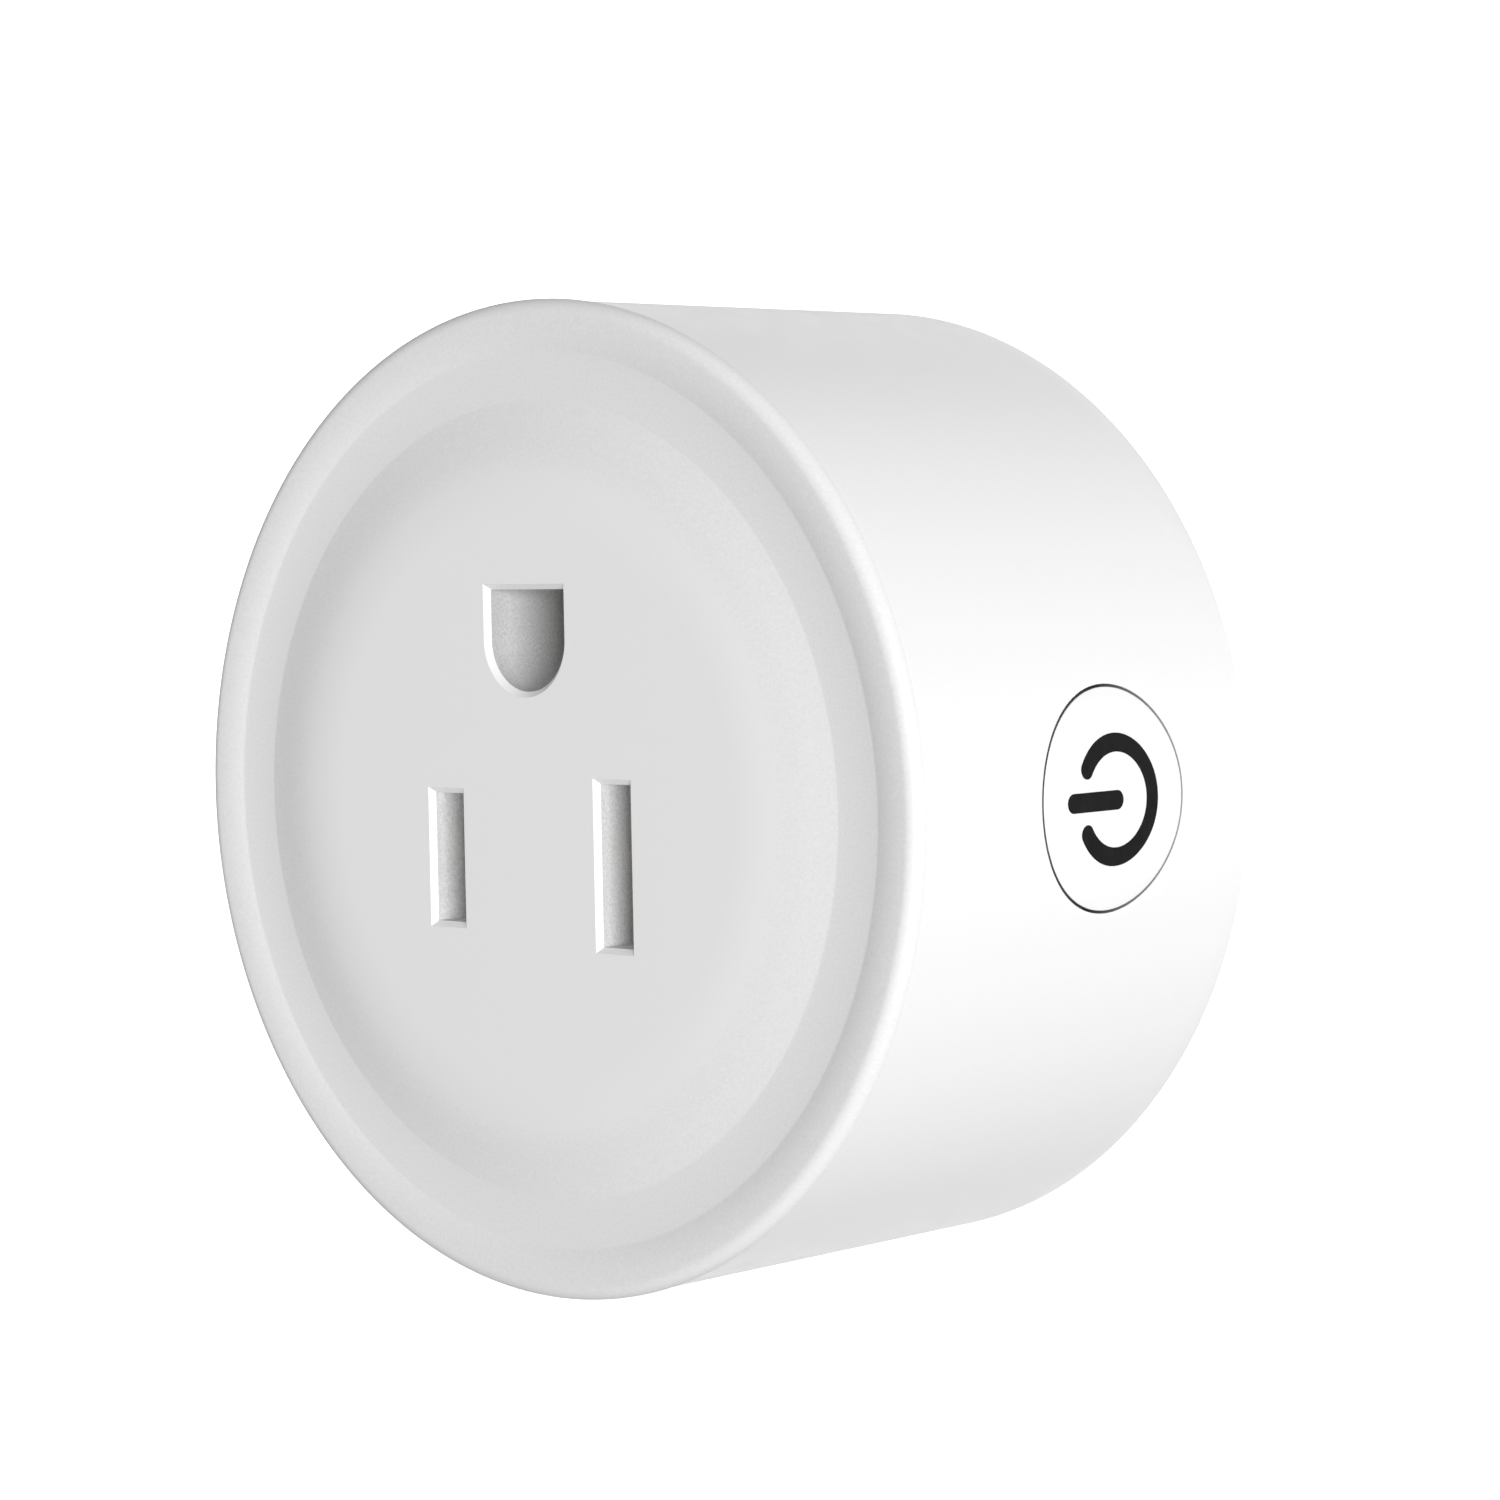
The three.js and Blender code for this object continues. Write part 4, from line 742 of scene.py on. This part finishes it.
def button_cap():
    """The button: a cap crowned like the housing, with a flange, a key and a post for the switch."""
    bm = bmesh.new()
    count, edge = 128, 0.06
    flange_r, flange_low, flange_soft = 6.9, 22.6, 0.05
    hollow_r, hollow_x = 4.7, 25.3
    post_r, post_x, post_soft = 1.6, 22.05, 0.1

    def crowned(r, rise=0.0):
        return [(wall_x(z) + rise, y, z) for y, z in circle(r, count, (BUTTON_Y, 0))]

    radii = [0.02, 0.8, 1.6, 2.4, 3.2, 4.0, 4.7, 5.3, BUTTON_R - edge]
    rings = [crowned(r) for r in radii]
    rings += [crowned(r, rise) for r, rise in arc(BUTTON_R - edge, -edge, edge, 90, 0, 5)[1:]]
    below = [
        (BUTTON_R, FLANGE_TOP),
        (flange_r - flange_soft, FLANGE_TOP),
        (flange_r, FLANGE_TOP - flange_soft),
        (flange_r, flange_low),
        (hollow_r, flange_low),
        (hollow_r, hollow_x),
        (post_r, hollow_x),
        (post_r, post_x + post_soft),
        (post_r - post_soft, post_x),
    ]
    rings += [ring_x(r, x, count) for r, x in below]
    crown_centre, post_end = skin(bm, rings)
    fill(bm, crown_centre)
    fill(bm, post_end)
    # The key that stops the cap from turning.
    half, near_y, far_y = 1.0, BUTTON_Y - 6.0, BUTTON_Y - 8.0
    key = rectangle((flange_low + FLANGE_TOP) / 2, 0, (FLANGE_TOP - flange_low) / 2, half)
    near, far = skin(bm, [at_y(key, y) for y in (near_y, far_y)])
    fill(bm, near)
    fill(bm, far)
    mark_gap_painted_shade(bm)
    look = [looks["gloss_white_plastic"], cap_gap_painted_shade]
    finished("button_cap", bm, look, "button", ["power_button"], 30.0)


def power_symbol():
    """The generic power symbol printed on the cap: a broken ring and a bar."""
    bm = bmesh.new()
    ring_r, half = 2.995, 0.495
    bar_half, bar_z, bar_front, bar_back = 0.515, -0.05, BUTTON_Y - 3.91, BUTTON_Y + 0.78
    ring_y0, ring_z0 = BUTTON_Y + 0.27, -0.04
    gap_angle = 33.9
    # The ring opens towards the socket face, -Y. Its ends are round.
    start, end = 180 + gap_angle, 540 - gap_angle
    outer = arc(ring_y0, ring_z0, ring_r + half, start, end, 72)
    inner = arc(ring_y0, ring_z0, ring_r - half, end, start, 72)
    first_end, last_end = (arc(ring_y0, ring_z0, ring_r, a, a, 1)[0] for a in (start, end))
    last_cap = arc(*last_end, half, end, end + 180, 12)[1:-1]
    first_cap = arc(*first_end, half, start + 180, start + 360, 12)[1:-1]
    bar = arc(bar_back - bar_half, bar_z, bar_half, -90, 90, 14)
    bar += arc(bar_front + bar_half, bar_z, bar_half, 90, 270, 14)
    # The ink's underside lies just inside the cap and its top just outside.
    ink_low, ink_high = BODY_R - 0.03, BODY_R + 0.01
    for outline in (outer + last_cap + inner + first_cap, bar):
        lifts = [[(wall_x(z, r), y, z) for y, z in outline] for r in (ink_low, ink_high)]
        low, high = skin(bm, lifts)
        fill(bm, low)
        fill(bm, high)
    # The fills are flat between outline points, so they are split finely and laid on the curve.
    longest, split = 0.35, BODY_R - 0.012
    for _ in range(3):
        long_edges = [e for e in bm.edges if e.calc_length() > longest * MM]
        bmesh.ops.subdivide_edges(bm, edges=long_edges, cuts=1)
        bmesh.ops.triangulate(bm, faces=[f for f in bm.faces if len(f.verts) > 4])
    for v in bm.verts:
        radius = math.hypot(v.co.x, v.co.z) / MM
        v.co.x = wall_x(v.co.z / MM, ink_high if radius > split else ink_low) * MM
    finished("power_symbol", bm, ink, "button", sharp=50.0)


# ---------------------------------------------------------------- rear


def back_cover():
    """The disc on the wall side, with holes for the pins, recesses for the screws and four posts."""
    bm = bmesh.new()
    outer, edge, inner_edge, thick = 24.9, 0.3, 0.1, 2.4
    rim = arc(outer - edge, -edge, edge, 90, 0, 5)
    rim += [(outer, -thick + inner_edge), (outer - inner_edge, -thick)]
    face, inside = skin(bm, [ring_y(r, y, COVER_TURN) for r, y in rim])
    soft, blade_w, blade_h, pin_r = 0.15, 0.81, 3.225, 2.46
    holes = []
    for x in (-BLADE_X, BLADE_X):
        steps = [(soft, 0), (0, -soft), (0, -thick)]
        holes.append([at_y(rectangle(x, BLADE_ROW_Z, blade_w + m, blade_h + m), y) for m, y in steps])
    pin = [(pin_r + soft, 0), (pin_r, -soft), (pin_r, -thick)]
    holes.append([ring_y(r, y, 64, (0, GROUND_Z)) for r, y in pin])
    recess_r, recess_soft, shaft_r, seat = 2.3, 0.05, 1.3, -1.7
    recess = [(recess_r + recess_soft, 0), (recess_r, -recess_soft), (recess_r, seat)]
    recess += [(shaft_r, seat), (shaft_r, -thick)]
    for _, x, z in screw_places():
        holes.append([ring_y(r, y, 48, (x, z)) for r, y in recess])
    outs, ins = zip(*(skin(bm, loops) for loops in holes))
    fill(bm, face, *outs)
    fill(bm, inside, *ins)
    # The posts that hold the main board.
    post_r, post_soft, root, tip = 1.4, 0.1, -thick + 0.2, span("rear_cover", Y)[0]
    post = [(0, root), (post_r, root), (post_r, tip + post_soft), (post_r - post_soft, tip), (0, tip)]
    for place in ((17.5, 6), (-21, 4.4), (11, -15), (-9.8, -19)):
        turned(bm, post, 32, place)
    look = looks["cover_white_plastic"]
    finished("back_cover", bm, look, "plug_body", ["rear_cover"], 30.0)


def cover_screw(number, x, z):
    """A pan-head screw with a thread and a cross recess."""
    bm = bmesh.new()
    node = f"cover_screw_{number}"
    count = 48
    tip, top = span(node, Y)
    seat = top - 1.2
    point_r, root_r, crest_r, neck_r, head_r = 0.35, 0.82, 1.05, 0.9, 2.1
    profile = [(0, tip), (point_r, tip), (root_r - 0.02, seat - 6.2)]
    pitch, flank = 0.5, 0.22
    y = seat - 6.1
    while y < seat - 0.9:
        profile += [(root_r, y), (crest_r, y + flank), (root_r, y + 2 * flank)]
        y += pitch
    profile += [(neck_r, seat - 0.4), (neck_r, seat), (head_r - 0.1, seat), (head_r, seat + 0.1)]
    dome = 0.55
    profile += arc(head_r - dome, top - dome, dome, 0, 80, 6)
    _, head_edge = turned(bm, profile, count, (x, z))
    arm, half, depth = 0.854, 0.26, 0.8
    cross = []
    for k in range(4):
        c, s = math.cos(k * math.pi / 2), math.sin(k * math.pi / 2)
        for u, v in ((half, -half), (arm, -half), (arm, half)):
            cross.append((x + u * c - v * s, z + u * s + v * c))
    mouth, floor = skin(bm, [at_y(cross, y) for y in (top, top - depth)])
    fill(bm, floor)
    fill(bm, head_edge, mouth)
    finished(f"{node}_fine", bm, looks["screw_steel"], "plug_body", [node], 28.0)


def blade(name, node, x):
    """A stamped blade: rounded corners, a tapered tip, a hole, and broken edges all round."""
    bm = bmesh.new()
    back, length = span(node, Y)
    half, w, tail, shoulder, shoulder_back, shoulder_front = 0.76, 3.175, 1.5, 4.1, -3.9, -2.45
    corner, corner_r, soft = 1.2, 0.25, 0.12
    hole_r, hole_y = 1.6, 11.9
    tapered, thinned = 1.6, 0.5
    # The upper side from the tail to the tip. The lower side mirrors it.
    side = [
        (back, tail),
        (shoulder_back, tail),
        (shoulder_back, shoulder),
        (shoulder_front, shoulder),
        (shoulder_front, w),
        (length - corner, w),
        (length, w - corner),
    ]
    outline = rounded([(y, -z) for y, z in side] + side[::-1], corner_r, 4)
    hole = circle(hole_r, 48, (hole_y, 0))

    def side_x(y, depth):
        taper = max(0.0, (y - (length - tapered)) / tapered)
        return (half - depth) * (1 - thinned * taper)

    def inset(points, amount):
        """An anticlockwise outline moved inwards, or a hole's edge moved outwards if it is below 0."""
        made = []
        n = len(points)
        for i in range(n):
            a, b, c = Vector(points[i - 1]), Vector(points[i]), Vector(points[(i + 1) % n])
            t = (c - a).normalized()
            made.append((b.x - t.y * amount, b.y + t.x * amount))
        return made

    def level(points, sign, depth):
        return [(x + sign * side_x(y, depth), y, BLADE_ROW_Z + z) for y, z in points]

    # The broken edge, as steps of (inset, depth) from the flat side outwards.
    steps = [(soft, 0.0), (soft * 0.3, soft * 0.3), (0.0, soft)]
    outer, inner = [], []
    for sign, levels in ((-1, steps), (1, steps[::-1])):
        outer += [level(inset(outline, i), sign, d) for i, d in levels]
        inner += [level(inset(hole, -i), sign, d) for i, d in levels]
    left, right = skin(bm, outer)
    hole_left, hole_right = skin(bm, inner)
    fill(bm, left, hole_left)
    fill(bm, right, hole_right)
    finished(name, bm, looks["plated_brass"], "plug_body", [node], 40.0)


def ground_pin():
    """A turned pin with a rounded nose, and a flange that the rear cover holds."""
    bm = bmesh.new()
    back, tip = span("ground_pin", Y)
    pin_r, tail_r, flange_r, flange_back, flange_front = 2.4, 1.4, 3.4, -3.9, -2.45
    soft, nose, middle = 0.1, 3.6, 6.0
    profile = [
        (0, back),
        (tail_r - soft, back),
        (tail_r, back + soft),
        (tail_r, flange_back),
        (flange_r - soft, flange_back),
        (flange_r, flange_back + soft),
        (flange_r, flange_front - soft),
        (flange_r - soft, flange_front),
        (pin_r, flange_front),
        (pin_r, middle),
    ]
    profile += [(pin_r * u, tip - nose + nose * v) for u, v in arc(0, 0, 1, 0, 90, 16)]
    turned(bm, profile, 96, (0, GROUND_Z))
    look = looks["plated_brass"]
    finished("ground_pin_fine", bm, look, "plug_body", ["ground_pin"], 34.0)


# ---------------------------------------------------------------- the pieces

front_cover()
housing()
button_cap()
power_symbol()
back_cover()
for number, x, z in screw_places():
    cover_screw(number, x, z)
blade("line_blade_fine", "line_blade", -BLADE_X)
blade("neutral_blade_fine", "neutral_blade", BLADE_X)
ground_pin()

# The inner parts keep their CAD shape and take their material from the record's slots.
slot_of = {row["node"]: row["material_slot"] for row in frame["record"]["subparts"]}
for node, obj in frame["nodes"].items():
    obj.data.materials.clear()
    obj.data.materials.append(looks[slot_of[node]])

# ---------------------------------------------------------------- camera

CAMERA_AZIMUTH, CAMERA_ELEVATION, CAMERA_ROLL = 42.642, 3.0536, -1.0704
CAMERA_LENS, CAMERA_DISTANCE = 97.754, 206.893
CAMERA_TARGET = (16.274, FACE_Y, 3.180)


def direction(azimuth, elevation):
    """The way from the object outwards, angles in radians. Azimuth 0 is -Y and 90 degrees is +X."""
    level = math.cos(elevation)
    return Vector((math.sin(azimuth) * level, -math.cos(azimuth) * level, math.sin(elevation)))


def photo_camera():
    azimuth, elevation, roll = (
        math.radians(angle) for angle in (CAMERA_AZIMUTH, CAMERA_ELEVATION, CAMERA_ROLL)
    )
    data = bpy.data.cameras.new("camera")
    data.lens = CAMERA_LENS
    data.sensor_width = 36.0
    data.clip_start = 0.01
    camera = bpy.data.objects.new("camera", data)
    bpy.context.scene.collection.objects.link(camera)
    back = direction(azimuth, elevation)
    right = Vector((0, 0, 1)).cross(back).normalized()
    up = back.cross(right)
    tilted_right = right * math.cos(roll) + up * math.sin(roll)
    tilted_up = up * math.cos(roll) - right * math.sin(roll)
    place = (Vector(CAMERA_TARGET) + back * CAMERA_DISTANCE) * MM
    axes = Matrix((tilted_right, tilted_up, back)).transposed().to_4x4()
    camera.matrix_world = Matrix.Translation(place) @ axes
    bpy.context.scene.camera = camera


photo_camera()

# ---------------------------------------------------------------- stage and light

LIT_POINT = (0, -14, 0)
WORLD_STRENGTH = 0.36


def area_light(name, azimuth, elevation, distance, size, power):
    """A soft light that faces the object's middle. Angles are in degrees and sizes in metres."""
    data = bpy.data.lights.new(name, "AREA")
    data.shape = "RECTANGLE"
    data.size, data.size_y = size
    data.energy = power
    light = bpy.data.objects.new(name, data)
    way = direction(math.radians(azimuth), math.radians(elevation))
    light.location = Vector(LIT_POINT) * MM + way * distance
    light.rotation_euler = way.to_track_quat("Z", "Y").to_euler()
    bpy.context.scene.collection.objects.link(light)


# name: azimuth, elevation, distance, (width, height), power
LIGHTS = {
    "key": (60, 1, 3.0, (1.5, 0.8), 88.0),
    "front_fill": (-20, 0, 3.0, (2.0, 1.2), 2.8),
    "bounce": (10, -55, 2.0, (1.5, 1.2), 2.4),
    "back": (180, 0, 2.5, (1.2, 1.2), 22.0),
    "side": (137, -2, 2.0, (0.8, 0.8), 2.2),
    "upper_rim": (209, 22, 2.0, (1.4, 0.8), 3.7),
    "lower_rim": (215, -22, 2.0, (1.4, 0.8), 3.4),
}
for name, values in LIGHTS.items():
    area_light(name, *values)

world = bpy.data.worlds.new("studio")
bpy.context.scene.world = world
world.use_nodes = True
background = world.node_tree.nodes["Background"]
background.inputs["Color"].default_value = (1, 1, 1, 1)
background.inputs["Strength"].default_value = WORLD_STRENGTH


def round_stage():
    """A plain pale floor that curves up all round into a plain pale wall."""
    bm = bmesh.new()
    floor_z, bend, radius, high, least = -120, 300, 1200, 1200, 0.001
    profile = [(0, floor_z), (radius / 3, floor_z), (radius - bend, floor_z)]
    profile += arc(radius - bend, floor_z + bend, bend, -90, 0, 16)[1:]
    profile += [(radius, high), (radius / 2, high * 1.5), (0, high * 1.6)]
    rings = [[(x, y, z) for x, y in circle(max(r, least), 96)] for r, z in profile]
    low, top = skin(bm, rings)
    fill(bm, low)
    fill(bm, top)
    for face in bm.faces:
        face.smooth = True
    mesh = bpy.data.meshes.new("floor")
    bm.to_mesh(mesh)
    bm.free()
    nodes = Nodes("pale floor")
    pale = nodes.colours(nodes.noise(3.0), grey(0.84), grey(0.86))
    nodes.link(pale, nodes.shader.inputs["Base Color"])
    nodes.rough(nodes.noise(5.0), 0.85, 0.95)
    nodes.shader.inputs["Emission Color"].default_value = (1, 1, 1, 1)
    nodes.set(Emission_Strength=1.0)
    mesh.materials.append(nodes.material)
    floor = bpy.data.objects.new("floor", mesh)
    bpy.context.scene.collection.objects.link(floor)
    # The stage is only a ground to see the object against: it lights and shades nothing.
    floor.visible_diffuse = False
    floor.visible_glossy = False
    floor.visible_shadow = False


round_stage()

view = bpy.context.scene.view_settings
view.view_transform = "Standard"
view.look = "None"
